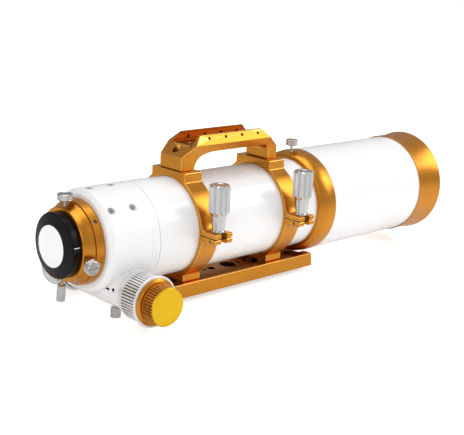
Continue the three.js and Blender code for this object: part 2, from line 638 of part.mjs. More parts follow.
add('drawtube', drawtube(), black());
add('drawtube_rack', rack(), steel());
add('drawtube_flange', flange(), gold());
add('visual_back', visualBack(), gold());
add('compression_ring', compressionRing(), brass());
for (const [place, s] of Object.entries(BACK_SCREWS)) {
  add(`${place}_back_thumbscrew`, thumbscrew(1.6, 27.25, s.headR, s.headLow, s.headTop,
    radial(s.angle), [0, BACK_SCREW_Y, 0]), steel());
}
add('eyepiece_adapter', adapter(), black());
add('dust_plug', dustPlug(), plastic());

add('dew_shield_tube', tube(DEW_BORE_R, DEW_R, COLLAR_FRONT + GAP, 420.8), white());
add('dew_shield_collar', collar(), gold());
add('dew_shield_felt', tube(TUBE_R + GAP, 55.9, 191.1, 200.9), felt());
add('dew_shield_front_ring', dewFrontRing(), gold());
add('dew_lock_screw', thumbscrew(1.6, 56.3, 7.2, 69.5, 77.6, AXIS.z, [0, DEW_LOCK_Y, 0]), steel());

export default telescope;
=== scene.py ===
"""Fine surfaces, finishes, camera and light for a 100 mm class refractor telescope.

Shapes are drawn in millimetres in the optical frame: y = 0 at the rear ring's rear face, z = 0 on the
optical axis, +Y towards the sky. show() moves each finished shape into the row frame, in metres.
"""

import json
import math

import bmesh
import bpy
from mathutils import Matrix, Vector

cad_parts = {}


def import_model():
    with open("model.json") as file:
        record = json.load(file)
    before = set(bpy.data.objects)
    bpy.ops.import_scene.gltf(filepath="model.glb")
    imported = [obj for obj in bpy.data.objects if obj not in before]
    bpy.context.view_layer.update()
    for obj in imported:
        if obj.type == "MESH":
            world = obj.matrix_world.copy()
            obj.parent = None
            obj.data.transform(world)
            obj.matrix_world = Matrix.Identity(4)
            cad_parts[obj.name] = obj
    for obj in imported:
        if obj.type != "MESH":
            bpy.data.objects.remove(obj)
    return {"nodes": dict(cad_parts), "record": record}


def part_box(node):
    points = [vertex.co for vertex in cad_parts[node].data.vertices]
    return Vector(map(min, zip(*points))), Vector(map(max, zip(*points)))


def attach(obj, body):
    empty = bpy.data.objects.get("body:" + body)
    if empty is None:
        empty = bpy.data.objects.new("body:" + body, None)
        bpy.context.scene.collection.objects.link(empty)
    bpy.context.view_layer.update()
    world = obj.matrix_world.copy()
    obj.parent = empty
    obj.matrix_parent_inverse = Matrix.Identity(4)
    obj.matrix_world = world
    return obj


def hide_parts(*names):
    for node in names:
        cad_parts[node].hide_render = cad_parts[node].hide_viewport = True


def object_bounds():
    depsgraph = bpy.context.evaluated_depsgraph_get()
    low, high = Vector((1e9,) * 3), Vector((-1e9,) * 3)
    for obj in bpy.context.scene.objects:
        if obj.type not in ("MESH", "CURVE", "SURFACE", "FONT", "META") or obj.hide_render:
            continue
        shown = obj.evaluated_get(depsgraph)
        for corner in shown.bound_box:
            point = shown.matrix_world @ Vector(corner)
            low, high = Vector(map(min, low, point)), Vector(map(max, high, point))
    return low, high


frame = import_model()
LOADED_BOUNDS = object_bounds()

# ---- frames and lookups ----
X = Vector((1, 0, 0))
Y = Vector((0, 1, 0))
Z = Vector((0, 0, 1))
AXIS_Z = sum(corner.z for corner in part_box("main_tube")) / 2
ORIGIN = Vector((0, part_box("rear_ring_lower")[0].y, AXIS_Z))
TO_ROW = Matrix.Translation(ORIGIN) @ Matrix.Scale(0.001, 4)
RECORD = frame["record"]
BODY_OF = {node: body for body, nodes in RECORD["behaviour"]["bodies"].items() for node in nodes}


def slots_by_node():
    """The material slot of every node, from the record."""
    return {part["node"]: part["material_slot"] for part in RECORD["subparts"]}


SLOT_OF = slots_by_node()

# ---- driving sizes, in millimetres ----
TUBE_R = 54.2
TUBE_BORE_R = 52.4
TUBE_REAR = -28.3
TUBE_FRONT = 388
BODY_R = 55
RING_STARTS = {"rear": 0, "front": 129.9}
RING_WIDTH = 25
RING_OUTER_R = 58.7
RING_BORE_R = 54.5
PINION_Y = -82
PINION_Z = -49.6
PINION_AT = Vector((0, PINION_Y, PINION_Z))
BACK_SCREW_Y = -134.3
FINE = 192
MEDIUM = 96
SMALL = 48
KNOB_BORE_R = 3.3


# ---- shape helpers ----
def radial(angle):
    """The direction square to the optical axis, at an angle in degrees from +X towards +Z."""
    return Vector((math.cos(math.radians(angle)), 0, math.sin(math.radians(angle))))


def aimed(axis, at):
    """The placement that turns +Z into an axis through a point."""
    turn = Z.rotation_difference(Vector(axis)).to_matrix().to_4x4()
    return Matrix.Translation(at) @ turn


def bridge(bm, low, high):
    """Faces between two rings of vertices, either of which may be a single point."""
    count = max(len(low), len(high))
    for i in range(count if count > 1 else 0):
        j = (i + 1) % count
        corners = [low[i % len(low)], low[j % len(low)], high[j % len(high)], high[i % len(high)]]
        bm.faces.new(list(dict.fromkeys(corners)))


def turned(profile, axis=Y, at=(0, 0, 0), steps=FINE, relief=None):
    """A profile of (radius, height) points turned about an axis.

    The profile closes on itself, or runs from axis to axis. relief(angle, radius, height) is taken off
    the radius, for ribs, flutes and knurls.
    """
    bm = bmesh.new()
    rings = []
    for radius, height in profile:
        ring = []
        for i in range(steps if radius > 1e-6 else 1):
            angle = 2 * math.pi * i / steps
            reach = radius - (relief(angle, radius, height) if relief else 0)
            ring.append(bm.verts.new((reach * math.cos(angle), reach * math.sin(angle), height)))
        rings.append(ring)
    closed = profile[0][0] > 1e-6
    for low, high in zip(rings, rings[1:] + (rings[:1] if closed else [])):
        bridge(bm, low, high)
    bmesh.ops.recalc_face_normals(bm, faces=bm.faces)
    bm.transform(aimed(axis, at))
    return bm


def eased(points, radius, steps=3):
    """A profile with rounded corners. A point may carry its own radius as a third value."""
    result = []
    count = len(points)
    for i, point in enumerate(points):
        corner = Vector(point[:2])
        before = Vector(points[i - 1][:2])
        after = Vector(points[(i + 1) % count][:2])
        size = point[2] if len(point) > 2 else radius
        straight = (corner - before).angle(after - corner, 0) < math.radians(8)
        if corner.x < 1e-6 or size == 0 or straight:
            result.append(tuple(corner))
            continue
        start = corner + (before - corner) * min(0.45, size / (before - corner).length)
        finish = corner + (after - corner) * min(0.45, size / (after - corner).length)
        for k in range(steps + 1):
            t = k / steps
            result.append(tuple(start * (1 - t) ** 2 + corner * 2 * t * (1 - t) + finish * t * t))
    return result


def rows(radius, low, high, step):
    """Profile points at one radius, spaced finely enough to carry a knurl."""
    count = max(1, round(abs(high - low) / step))
    return [(radius, low + (high - low) * i / count, 0) for i in range(count + 1)]


def threaded(radius, low, high, pitch=0.7, depth=0.28):
    """Profile points of a screw thread, drawn as rings."""
    count = max(1, int(abs(high - low) / pitch))
    step = (high - low) / count
    points = []
    for i in range(count):
        points.append((radius, low + (i + 0.1) * step, 0))
        points.append((radius, low + (i + 0.3) * step, 0))
        points.append((radius - depth, low + (i + 0.65) * step, 0))
        points.append((radius - depth, low + (i + 0.75) * step, 0))
    return points


def prism(outline, low, high, plane="xz"):
    """A closed outline swept from low to high, square to the plane it is drawn in."""
    places = {
        "xz": lambda a, b, c: (a, c, b),
        "yz": lambda a, b, c: (c, a, b)}
    place = places[plane]
    bm = bmesh.new()
    lows = [bm.verts.new(place(a, b, low)) for a, b in outline]
    highs = [bm.verts.new(place(a, b, high)) for a, b in outline]
    bridge(bm, lows, highs)
    bm.faces.new(lows)
    bm.faces.new(highs)
    bmesh.ops.recalc_face_normals(bm, faces=bm.faces)
    return bm


def block(x0, x1, y0, y1, z0, z1):
    """A plain box, used as a cutter."""
    return prism([(x0, z0), (x1, z0), (x1, z1), (x0, z1)], y0, y1)


def arc(radius, start, end, count):
    """Points along an arc about the optical axis, in (x, z), with angles in degrees."""
    angles = [math.radians(start + (end - start) * i / count) for i in range(count + 1)]
    return [(radius * math.cos(a), radius * math.sin(a)) for a in angles]


def curve(start, middle, end, count=8):
    """Points along a quadratic curve, without its two ends."""
    points = []
    for i in range(1, count):
        t = i / count
        across = [start[k] * (1 - t) ** 2 + middle[k] * 2 * t * (1 - t) + end[k] * t * t for k in (0, 1)]
        points.append(tuple(across))
    return points


def held(bm):
    """A temporary object that holds a shape while modifiers work on it."""
    mesh = bpy.data.meshes.new("held")
    bm.to_mesh(mesh)
    bm.free()
    obj = bpy.data.objects.new("held", mesh)
    bpy.context.scene.collection.objects.link(obj)
    return obj


def released(obj):
    """The shape of a temporary object with its modifiers applied. The object is removed."""
    bpy.context.view_layer.update()
    result = bmesh.new()
    result.from_object(obj, bpy.context.evaluated_depsgraph_get())
    mesh = obj.data
    bpy.data.objects.remove(obj)
    bpy.data.meshes.remove(mesh)
    return result


WELD = 0.0008
SLIVER = 0.0005
SLIT_SIDES = 12


def combined(base, tools, operation):
    """An exact Boolean of a base with each tool in turn."""
    holder = held(base)
    holders = [held(tool) for tool in tools]
    for tool in holders:
        step = holder.modifiers.new("boolean", "BOOLEAN")
        step.operation = operation
        step.solver = "EXACT"
        step.object = tool
    result = released(holder)
    for tool in holders:
        mesh = tool.data
        bpy.data.objects.remove(tool)
        bpy.data.meshes.remove(mesh)
    bmesh.ops.remove_doubles(result, verts=result.verts, dist=WELD)
    bmesh.ops.dissolve_degenerate(result, dist=SLIVER, edges=result.edges)
    close_gaps(result)
    return result


def close_gaps(bm):
    """Takes out loose edges and fills the slits a Boolean may leave."""
    bmesh.ops.delete(bm, geom=[e for e in bm.edges if not e.link_faces], context="EDGES")
    slits = [e for e in bm.edges if e.is_boundary]
    if slits:
        bmesh.ops.holes_fill(bm, edges=slits, sides=SLIT_SIDES)


def in_triangles(bm):
    """A shape with its many-sided faces cut into triangles."""
    bmesh.ops.triangulate(bm, faces=[f for f in bm.faces if len(f.verts) > 4])
    return bm


def carved(base, *tools):
    """A base with tools taken out of it."""
    return combined(base, tools, "DIFFERENCE")


def fused(base, *others):
    """A base joined with other shapes."""
    return combined(base, others, "UNION")


def common(base, *others):
    """What a base shares with other shapes."""
    return combined(base, others, "INTERSECT")


CLOSE_POINTS = 0.15


def softened(bm, width, segments=2, angle=30):
    """A shape whose close points are merged and whose sharp edges are rounded off."""
    bmesh.ops.remove_doubles(bm, verts=bm.verts, dist=CLOSE_POINTS)
    holder = held(bm)
    step = holder.modifiers.new("bevel", "BEVEL")
    step.width = width
    step.segments = segments
    step.limit_method = "ANGLE"
    step.angle_limit = math.radians(angle)
    step.use_clamp_overlap = False
    return released(holder)


def hole(radius, low, high, axis, at=(0, 0, 0), mouth=0.3, steps=32):
    """A cutter for a hole between two faces, with a small countersink at each end."""
    return turned([
        (0, low - 1), (radius + mouth + 1, low - 1), (radius, low + mouth), (radius, high - mouth),
        (radius + mouth + 1, high + 1), (0, high + 1)], axis, at, steps)


def rod(radius, low, high, axis, at=(0, 0, 0), steps=MEDIUM):
    """A plain rod, used as a cutter or joined into a larger shape."""
    return turned([(0, low), (radius, low), (radius, high), (0, high)], axis, at, steps)


def hexagon(across, low, high, axis, at):
    """A hexagonal socket cutter, measured across its flats."""
    return rod(across / math.sqrt(3), low, high, axis, at, 6)


# ---- relief patterns ----
def ribbed(count, depth, low, high, gap=0.45):
    """Straight ribs with flat tops between two heights, gap being the share of a pitch cut away."""
    def relief(angle, radius, height):
        if not low <= height <= high:
            return 0
        phase = (angle * count / (2 * math.pi)) % 1
        return depth if phase < gap else 0
    return relief


def fluted(count, depth, low, high, sharpness, least):
    """Round flutes between two heights, on surfaces beyond a least radius."""
    def relief(angle, radius, height):
        if radius < least or not low < height < high:
            return 0
        return depth * (0.5 + 0.5 * math.cos(count * angle)) ** sharpness
    return relief


def knurled(count, depth, low, high, pitch):
    """A diamond knurl between two heights, with pitch along the axis."""
    def relief(angle, radius, height):
        if not low <= height <= high:
            return 0
        along = 2 * math.pi * height / pitch
        right = math.cos(count * angle + along)
        left = math.cos(count * angle - along)
        return depth * (0.5 + 0.25 * (right + left))
    return relief


# ---- finishes ----
def added(tree, kind, **values):
    """A shader node with some of its inputs set."""
    node = tree.nodes.new(kind)
    for name, value in values.items():
        node.inputs[name.replace("_", " ")].default_value = value
    return node


def noise_at(tree, place, scale, stretch=(1, 1, 1), detail=4.0):
    """Noise read at the object's own coordinates, stretched to make lines or left even."""
    spread = tree.nodes.new("ShaderNodeMapping")
    spread.inputs["Scale"].default_value = stretch
    tree.links.new(place.outputs["Object"], spread.inputs["Vector"])
    noise = added(tree, "ShaderNodeTexNoise", Scale=scale, Detail=detail, Roughness=0.6)
    tree.links.new(spread.outputs["Vector"], noise.inputs["Vector"])
    return noise


def ranged(tree, source, low, high):
    """A value between 0.3 and 0.7 spread over low to high."""
    spread = tree.nodes.new("ShaderNodeMapRange")
    spread.inputs["From Min"].default_value = 0.3
    spread.inputs["From Max"].default_value = 0.7
    spread.inputs["To Min"].default_value = low
    spread.inputs["To Max"].default_value = high
    tree.links.new(source, spread.inputs["Value"])
    return spread.outputs["Result"]


def shade_between(tree, source, dark, light):
    """A colour between two others by a value between 0.3 and 0.7."""
    mix = tree.nodes.new("ShaderNodeMix")
    mix.data_type = "RGBA"
    mix.inputs["A"].default_value = (*dark, 1)
    mix.inputs["B"].default_value = (*light, 1)
    tree.links.new(ranged(tree, source, 0, 1), mix.inputs["Factor"])
    return mix.outputs["Result"]


MICRON = 0.000001
MOTTLE_SCALE = 45
BUMP_STRENGTH = 0.6
COAT_ROUGHNESS = 0.06


def finish(name, dark, light, roughness, metallic=0.0, grain=(1, 1, 1), scale=900, depth=20,
           coat=0.0, clear=0.0, index=1.5):
    """A procedural finish: mottled colour and roughness, with a grain or turning lines, depth in microns."""
    material = bpy.data.materials.new(name)
    material.use_nodes = True
    tree = material.node_tree
    tree.nodes.clear()
    output = tree.nodes.new("ShaderNodeOutputMaterial")
    surface = added(tree, "ShaderNodeBsdfPrincipled", Metallic=metallic, Coat_Weight=coat,
                    Coat_Roughness=COAT_ROUGHNESS, IOR=index, Transmission_Weight=clear)
    tree.links.new(surface.outputs["BSDF"], output.inputs["Surface"])
    place = tree.nodes.new("ShaderNodeTexCoord")
    broad = noise_at(tree, place, MOTTLE_SCALE)
    lines = noise_at(tree, place, scale, grain)
    bump = added(tree, "ShaderNodeBump", Strength=BUMP_STRENGTH, Distance=depth * MICRON)
    tree.links.new(lines.outputs["Fac"], bump.inputs["Height"])
    tree.links.new(bump.outputs["Normal"], surface.inputs["Normal"])
    tree.links.new(shade_between(tree, broad.outputs["Fac"], dark, light), surface.inputs["Base Color"])
    tree.links.new(ranged(tree, lines.outputs["Fac"], *roughness), surface.inputs["Roughness"])
    return material


TURNED_LINES = (0.15, 4, 0.15)
CROSS_LINES = (4, 0.15, 0.15)
LOOKS = {
    "gold_anodised": dict(
        dark=(0.66, 0.262, 0.030), light=(0.70, 0.282, 0.034), roughness=(0.26, 0.34), metallic=1.0,
        grain=TURNED_LINES, scale=600, depth=3),
    "yellow_anodised": dict(
        dark=(0.86, 0.52, 0.020), light=(0.90, 0.56, 0.026), roughness=(0.28, 0.32), metallic=1.0,
        scale=300, depth=0.6),
    "white_paint": dict(
        dark=(0.77, 0.77, 0.78), light=(0.80, 0.80, 0.80), roughness=(0.22, 0.3), scale=700, depth=2,
        coat=0.4),
    "knob_silver": dict(
        dark=(0.78, 0.78, 0.78), light=(0.84, 0.84, 0.83), roughness=(0.25, 0.35), metallic=0.5,
        grain=CROSS_LINES, scale=600, depth=3),
    "polished_aluminium": dict(
        dark=(0.6, 0.6, 0.61), light=(0.68, 0.68, 0.69), roughness=(0.14, 0.22), metallic=1.0,
        grain=(0.3, 0.3, 4), scale=500, depth=4),
    "nickel_steel": dict(
        dark=(0.62, 0.61, 0.6), light=(0.7, 0.69, 0.68), roughness=(0.16, 0.28), metallic=1.0, scale=900,
        depth=4),
    "machined_steel": dict(
        dark=(0.5, 0.5, 0.51), light=(0.58, 0.58, 0.58), roughness=(0.25, 0.38), metallic=1.0,
        grain=CROSS_LINES, scale=600, depth=4),
    "black_steel": dict(
        dark=(0.16, 0.16, 0.165), light=(0.24, 0.24, 0.25), roughness=(0.2, 0.3), metallic=1.0, scale=900,
        depth=4),
    "black_anodised": dict(
        dark=(0.004, 0.004, 0.004), light=(0.008, 0.008, 0.008), roughness=(0.2, 0.28), grain=TURNED_LINES,
        scale=600, depth=3, index=1.24),
    "flat_black": dict(
        dark=(0.006, 0.006, 0.006), light=(0.012, 0.012, 0.012), roughness=(0.85, 0.95), scale=1200,
        depth=60),
    "optical_glass": dict(
        dark=(0.97, 0.99, 0.98), light=(1, 1, 1), roughness=(0.0, 0.02), depth=1, clear=1.0, index=1.52),
    "nylon": dict(
        dark=(0.72, 0.7, 0.62), light=(0.8, 0.78, 0.7), roughness=(0.45, 0.6), depth=30),
    "brass": dict(
        dark=(0.6, 0.42, 0.14), light=(0.7, 0.5, 0.18), roughness=(0.25, 0.4), metallic=1.0,
        grain=TURNED_LINES, scale=500, depth=30),
    "white_plastic": dict(
        dark=(0.86, 0.86, 0.86), light=(0.9, 0.9, 0.9), roughness=(0.35, 0.45), scale=1200, depth=30),
    # Brighter gold for narrow edge faces: a painted highlight along the machined edges.
    "gold_edge_highlight": dict(
        dark=(0.86, 0.46, 0.10), light=(0.92, 0.50, 0.12), roughness=(0.2, 0.28), metallic=1.0, scale=600,
        depth=1),
    "gold_shadow": dict(
        dark=(0.27, 0.095, 0.011), light=(0.33, 0.12, 0.015), roughness=(0.3, 0.4), metallic=1.0,
        grain=CROSS_LINES, scale=600, depth=3),
    "hole_shade": dict(
        dark=(0.03, 0.012, 0.006), light=(0.05, 0.02, 0.01), roughness=(0.5, 0.6), metallic=0.6, scale=900,
        depth=3),
    # Dark finish for the floors between the coarse knob's ribs: a painted shade in the gaps.
    "rib_gap_shade": dict(
        dark=(0.065, 0.05, 0.045), light=(0.10, 0.08, 0.07), roughness=(0.35, 0.5), metallic=0.7,
        grain=CROSS_LINES, scale=600, depth=3),
    "felt": dict(
        dark=(0.008, 0.008, 0.009), light=(0.02, 0.02, 0.022), roughness=(0.95, 1.0), scale=2500,
        depth=300),
}
FINISHES = {name: finish(name, **look) for name, look in LOOKS.items()}


# ---- showing pieces ----
def show(name, bm, body, slot, node=None, angle=32):
    """Places a finished shape as a piece that rides on a body and takes a slot's finish."""
    bm.transform(TO_ROW)
    mesh = bpy.data.meshes.new(name)
    bm.to_mesh(mesh)
    bm.free()
    mesh.shade_smooth()
    mesh.set_sharp_from_angle(angle=math.radians(angle))
    mesh.materials.append(FINISHES[slot])
    piece = bpy.data.objects.new(name, mesh)
    bpy.context.scene.collection.objects.link(piece)
    level = piece.modifiers.new("weighted_normals", "WEIGHTED_NORMAL")
    level.keep_sharp = True
    if node:
        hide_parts(node)
    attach(piece, body)
    return piece


def stand_for(node, bm, angle=32):
    """Shows a fine shape in place of a CAD node, on its body and in its slot."""
    return show(node + "_fine", bm, BODY_OF[node], SLOT_OF[node], node, angle)


def paint(piece, slot, test):
    """Gives another slot's finish to the faces whose centre, in optical millimetres, passes a test."""
    piece.data.materials.append(FINISHES[slot])
    index = len(piece.data.materials) - 1
    back = TO_ROW.inverted()
    for face in piece.data.polygons:
        if test(back @ face.center):
            face.material_index = index


def from_line(p, axis, at):
    """A point's distance from a line."""
    away = p - Vector(at)
    return (away - Vector(axis) * away.dot(Vector(axis))).length


def from_line_test(axis, at, radius):
    """A test for points nearer a line than a radius."""
    return lambda p: from_line(p, axis, at) < radius


EDGE_STRIP = 0.0008
EDGE_AREA = 0.0002
LEANING = 0.98


def paint_edge_highlights(piece):
    """Gives the narrow faces of machined edges a brighter gold, a painted highlight; its lower roughness
    stands for their polish.
    """
    piece.data.materials.append(FINISHES["gold_edge_highlight"])
    index = len(piece.data.materials) - 1
    places = [v.co for v in piece.data.vertices]
    for face in piece.data.polygons:
        ring = [places[i] for i in face.vertices]
        narrow = min((a - b).length for a, b in zip(ring, ring[1:] + ring[:1]))
        leaning = max(abs(part) for part in face.normal) < LEANING
        if leaning and narrow < EDGE_STRIP and face.area < EDGE_AREA:
            face.material_index = index


def inside(radius):
    """A test for faces that lie nearer the optical axis than a radius."""
    return lambda p: math.hypot(p.x, p.z) < radius


# ---- screws ----
def cap_screw(shank, head, top, under, tip, axis, at, socket, depth):
    """A socket-head screw, its threaded shank pointing against the axis."""
    profile = [(0, tip), (shank - 0.3, tip)] + threaded(shank, tip + 0.4, under - 0.2)
    profile += [(shank, under), (head, under), (head, top), (0, top)]
    body = turned(eased(profile, 0.35, 2), axis, at, SMALL)
    return carved(body, hexagon(socket, top - depth, top + 1, axis, at))


def stud_profile(stem, tip, head_low):
    """The threaded stem of a thumbscrew, from its tip to its head."""
    return [(0, tip), (stem - 0.35, tip)] + threaded(stem, tip + 0.4, head_low - 0.6)


def thumbscrew(stem, tip, head, low, high, axis, at, teeth, slot=0.0):
    """A thumbscrew with a diamond knurl on its head, and a driver slot if asked."""
    profile = stud_profile(stem, tip, low)
    profile += [(stem, low), (head - 0.5, low)] + rows(head, low + 0.5, high - 0.5, 0.3)
    profile += [(head - 0.5, high), (head * 0.72, high), (head * 0.66, high - 0.35), (0, high - 0.35)]
    relief = knurled(teeth, 0.45, low + 0.6, high - 0.6, 1.7)
    body = turned(eased(profile, 0.2, 2), axis, at, teeth * 6, relief)
    if not slot:
        return body
    cutter = block(-slot / 2, slot / 2, -head - 1, head + 1, high - 1.4, high + 1)
    cutter.transform(aimed(axis, at))
    return carved(body, cutter)


# ---- dovetail plate ----
PLATE_TOP = -60.2
PLATE_BOTTOM = -75.7
CHANNEL_FLOOR = -64.4
PLATE_HOLES = ((60, 2.5), (70.5, 4.8), (97.5, 10), (113.5, 3.2), (125, 3.6), (172, 3.6), (186, 3.6))
FOOT_BOLT_HEAD_TOP = -69.2


def dovetail_plate():
    """The wide plate with leaning sides, a shallow channel and a row of countersunk holes."""
    section = [(-37.9, PLATE_BOTTOM), (37.9, PLATE_BOTTOM), (36, PLATE_TOP), (-36, PLATE_TOP)]
    body = softened(prism(section, -50, 205), 0.7, 3)
    tools = [block(-24, 24, -60, 215, CHANNEL_FLOOR, -50)]
    tools += [hole(r, PLATE_BOTTOM, CHANNEL_FLOOR, Z, (0, y, 0), 0.5) for y, r in PLATE_HOLES]
    for y in RING_STARTS.values():
        at = (0, y + 12.5, 0)
        tools.append(hole(4.1, PLATE_BOTTOM, CHANNEL_FLOOR, Z, at, 0.3))
        tools.append(rod(6.1, -80, FOOT_BOLT_HEAD_TOP + 0.3, Z, at, SMALL))
    piece = stand_for("dovetail_plate", carved(body, *tools))
    paint_edge_highlights(piece)
    for y, radius in PLATE_HOLES:
        paint(piece, "hole_shade", lambda p: from_line(p, Z, (0, y, 0)) < radius + 0.02 and p.z < -64.9)


# ---- tube rings ----
LUG_OUT = 81
LUG_TOP = 5.9
LUG_BOTTOM = -5.3
SPLIT = 0.8
HINGE_AT = (-63, 0, 0.4)
STUD_X = 71
CROSS_PIN_AT = (72, 0, -2.8)


def on_ring(angle):
    """A point on the ring's outer surface, in (x, z)."""
    return arc(RING_OUTER_R, angle, angle, 1)[0]


def rounded_corner(corner, before, after, radius, count=4):
    """An outline corner replaced by a short curve."""
    corner = Vector(corner)
    start = corner + (Vector(before) - corner).normalized() * radius
    end = corner + (Vector(after) - corner).normalized() * radius
    return [tuple(start), *curve(start, corner, end, count), tuple(end)]


def upper_ring_outline():
    """The upper half: lug, shell and the block that carries the handle, with the bore inside."""
    block_low = (28.2, 52.2)
    block_high = (28.2, 62.4)
    points = [(RING_BORE_R, SPLIT), *rounded_corner((LUG_OUT, SPLIT), (70, SPLIT), (LUG_OUT, 3), 1.7)]
    points += rounded_corner((LUG_OUT, LUG_TOP), (LUG_OUT, 3), (70, LUG_TOP), 2.2)
    points += [(63.2, LUG_TOP), *curve((63.2, LUG_TOP), (59.5, 6.2), on_ring(14))]
    points += arc(RING_OUTER_R, 14, 50, 24) + curve(on_ring(50), (32.5, 48.6), block_low)
    points += [block_low, *rounded_corner(block_high, block_low, (0, 62.4), 1.7)]
    left = [(-x, z) for x, z in reversed(points) if z > on_ring(49.9)[1]]
    points += left + arc(RING_OUTER_R, 130, 179.2, 32)[1:]
    return points + [(-RING_BORE_R, SPLIT)] + arc(RING_BORE_R, 177.6, 2.4, 92)


def lower_ring_outline():
    """The lower half: lug, shell and the foot on the plate, with the bore inside."""
    foot_high = (31, -51.7)
    foot_low = (31, -59.9)
    points = [(RING_BORE_R, 0), *rounded_corner((LUG_OUT, 0), (70, 0), (LUG_OUT, -3), 1.7)]
    points += rounded_corner((LUG_OUT, LUG_BOTTOM), (LUG_OUT, -3), (70, LUG_BOTTOM), 2.2)
    points += [(66, LUG_BOTTOM), *curve((66, LUG_BOTTOM), (60.5, -5.9), on_ring(-16))]
    points += arc(RING_OUTER_R, -16, -48, 24) + curve(on_ring(-48), (35, -47), foot_high)
    points += [foot_high, *rounded_corner(foot_low, foot_high, (0, -59.9), 1.7)]
    left = [(-x, z) for x, z in reversed(points) if z < on_ring(-47.9)[1]]
    points += left + arc(RING_OUTER_R, -132, -180, 32)[1:]
    return points + [(-RING_BORE_R, 0)] + arc(RING_BORE_R, -178, -2, 92)


def knuckle(y0, y1, web_low, web_high):
    """One hinge barrel and the web that joins it to its ring."""
    barrel = turned(eased([(0, y0), (4, y0), (4, y1), (0, y1)], 0.4), Y, HINGE_AT, SMALL)
    return [barrel, block(-63, -56, y0, y1, web_low, web_high)]


def ring_cutters(y):
    """What is cut from both halves: the stud slot and the hinge pin's hole."""
    middle = y + RING_WIDTH / 2
    slot = block(63, 84, middle - 4, middle + 4, -7, 8)
    return [slot, rod(1.9, y - 1, y + RING_WIDTH + 1, Y, HINGE_AT, 32)]


def ring_halves(side, y):
    """Both halves of one tube ring."""
    top = in_triangles(softened(prism(upper_ring_outline(), y, y + RING_WIDTH), 0.9, 2))
    top = fused(top, *knuckle(y + 8.4, y + 16.6, SPLIT + 0.05, 5))
    bolt = hole(3.2, 54, 62.4, Z, (0, y + 12.5, 0), 0.3)
    paint_edge_highlights(stand_for(side + "_ring_upper", carved(top, *ring_cutters(y), bolt)))
    low = in_triangles(softened(prism(lower_ring_outline(), y, y + RING_WIDTH), 0.9, 2))
    low = fused(low, *knuckle(y + 0.05, y + 8.1, -5, -0.05), *knuckle(y + 16.9, y + 24.95, -5, -0.05))
    pin = hole(1.8, y, y + RING_WIDTH, Y, CROSS_PIN_AT, 0.35)
    bolt = hole(4.1, -59.9, -54, Z, (0, y + 12.5, 0), 0.3)
    paint_edge_highlights(stand_for(side + "_ring_lower", carved(low, *ring_cutters(y), pin, bolt)))


def clamp_nut(side, y):
    """The tall fluted thumb nut with its stud."""
    profile = [(0, -0.9), (2.6, -0.9)] + threaded(2.9, -0.5, 5.6, 0.8)
    profile += [(2.9, 6.2, 0), (7.3, 6.2, 0.3), (7.3, 7.6, 0.4), (6.6, 8.6, 0.4), (8.1, 24.6, 1)]
    profile += [(11.4, 28.6, 0.9), *rows(11.4, 29.6, 55.4, 4), (11.4, 56.6, 0.4), (10, 58, 0.5)]
    profile += [(6.5, 58, 0.4), (5.9, 57.3, 0.4), (0, 57.3)]

    def flutes(angle, radius, height):
        if radius < 9 or not 26.5 < height < 57.9:
            return 0
        return 1.0 * max(0, math.cos(10 * angle) + 0.15) ** 0.7 / 1.15 ** 0.7

    at = (STUD_X, y + 12.5, 0)
    nut = stand_for(side + "_ring_thumbscrew", turned(eased(profile, 0.3), Z, at, 240, flutes), 38)
    # The flute hollows take the darker machined steel finish, a painted shade in the flutes.
    paint(nut, "machined_steel", lambda p: 9 < math.hypot(p.x - STUD_X, p.y - at[1]) < 10.7 and 28 < p.z < 57)


def ring_hardware(side, y):
    """The pins and bolts of one ring."""
    ends = [(0, y + 0.5), (1.6, y + 0.5), (1.6, y + 24.5), (0, y + 24.5)]
    stand_for(side + "_ring_hinge_pin", turned(eased(ends, 0.4), Y, HINGE_AT, SMALL))
    ends = [(0, y + 1.2), (1.5, y + 1.2), (1.5, y + 23.8), (0, y + 23.8)]
    stand_for(side + "_ring_cross_pin", turned(eased(ends, 0.35), Y, CROSS_PIN_AT, SMALL))
    at = (0, y + 12.5, 0)
    foot = cap_screw(3.8, 5.8, 75.3, 69.2, 55.6, -Z, at, 5, 3)
    stand_for(side + "_ring_foot_bolt", foot)
    stand_for(side + "_handle_bolt", cap_screw(2.9, 4.9, 77.6, 72.3, 56, Z, at, 4, 3))


# ---- carry handle ----
HANDLE_SIDE = (
    (3, 62.7), (3, 77.6), (19.4, 89.6), (30.5, 99.8), (124, 99.8), (134.4, 89.6), (151, 77.6), (151, 62.7),
    (135.7, 62.7))
HANDLE_HALF = ((18, 62.7), (18, 77.6), (24.4, 89.6), (17, 99.8))
SHOE_HALF = ((14, 89), (14, 88.4), (17, 88.4), (14.4, 99.8), (14.1, 101))


def handle_side():
    """The handle seen from the side, in (y, z), with its arched underside."""
    front = curve((135.7, 72), (135.4, 80.4), (126, 80.6))
    rear = curve((50, 80.6), (24, 79), (22.4, 62.7), 12)
    return [*HANDLE_SIDE, (135.7, 72), *front, (126, 80.6), (50, 80.6), *rear, (22.4, 62.7)]


def mirrored(half):
    """A closed outline from its right-hand half."""
    return [*half, *[(-x, z) for x, z in reversed(half)]]


def handle_holes():
    """The axis and start of each tapped hole on the channel's sloping sides."""
    for angle in (36, 144):
        x = math.copysign(19.7, 90 - angle)
        for i in range(4):
            yield radial(angle), Vector((x, 41.3 + i * 24.9, 96))


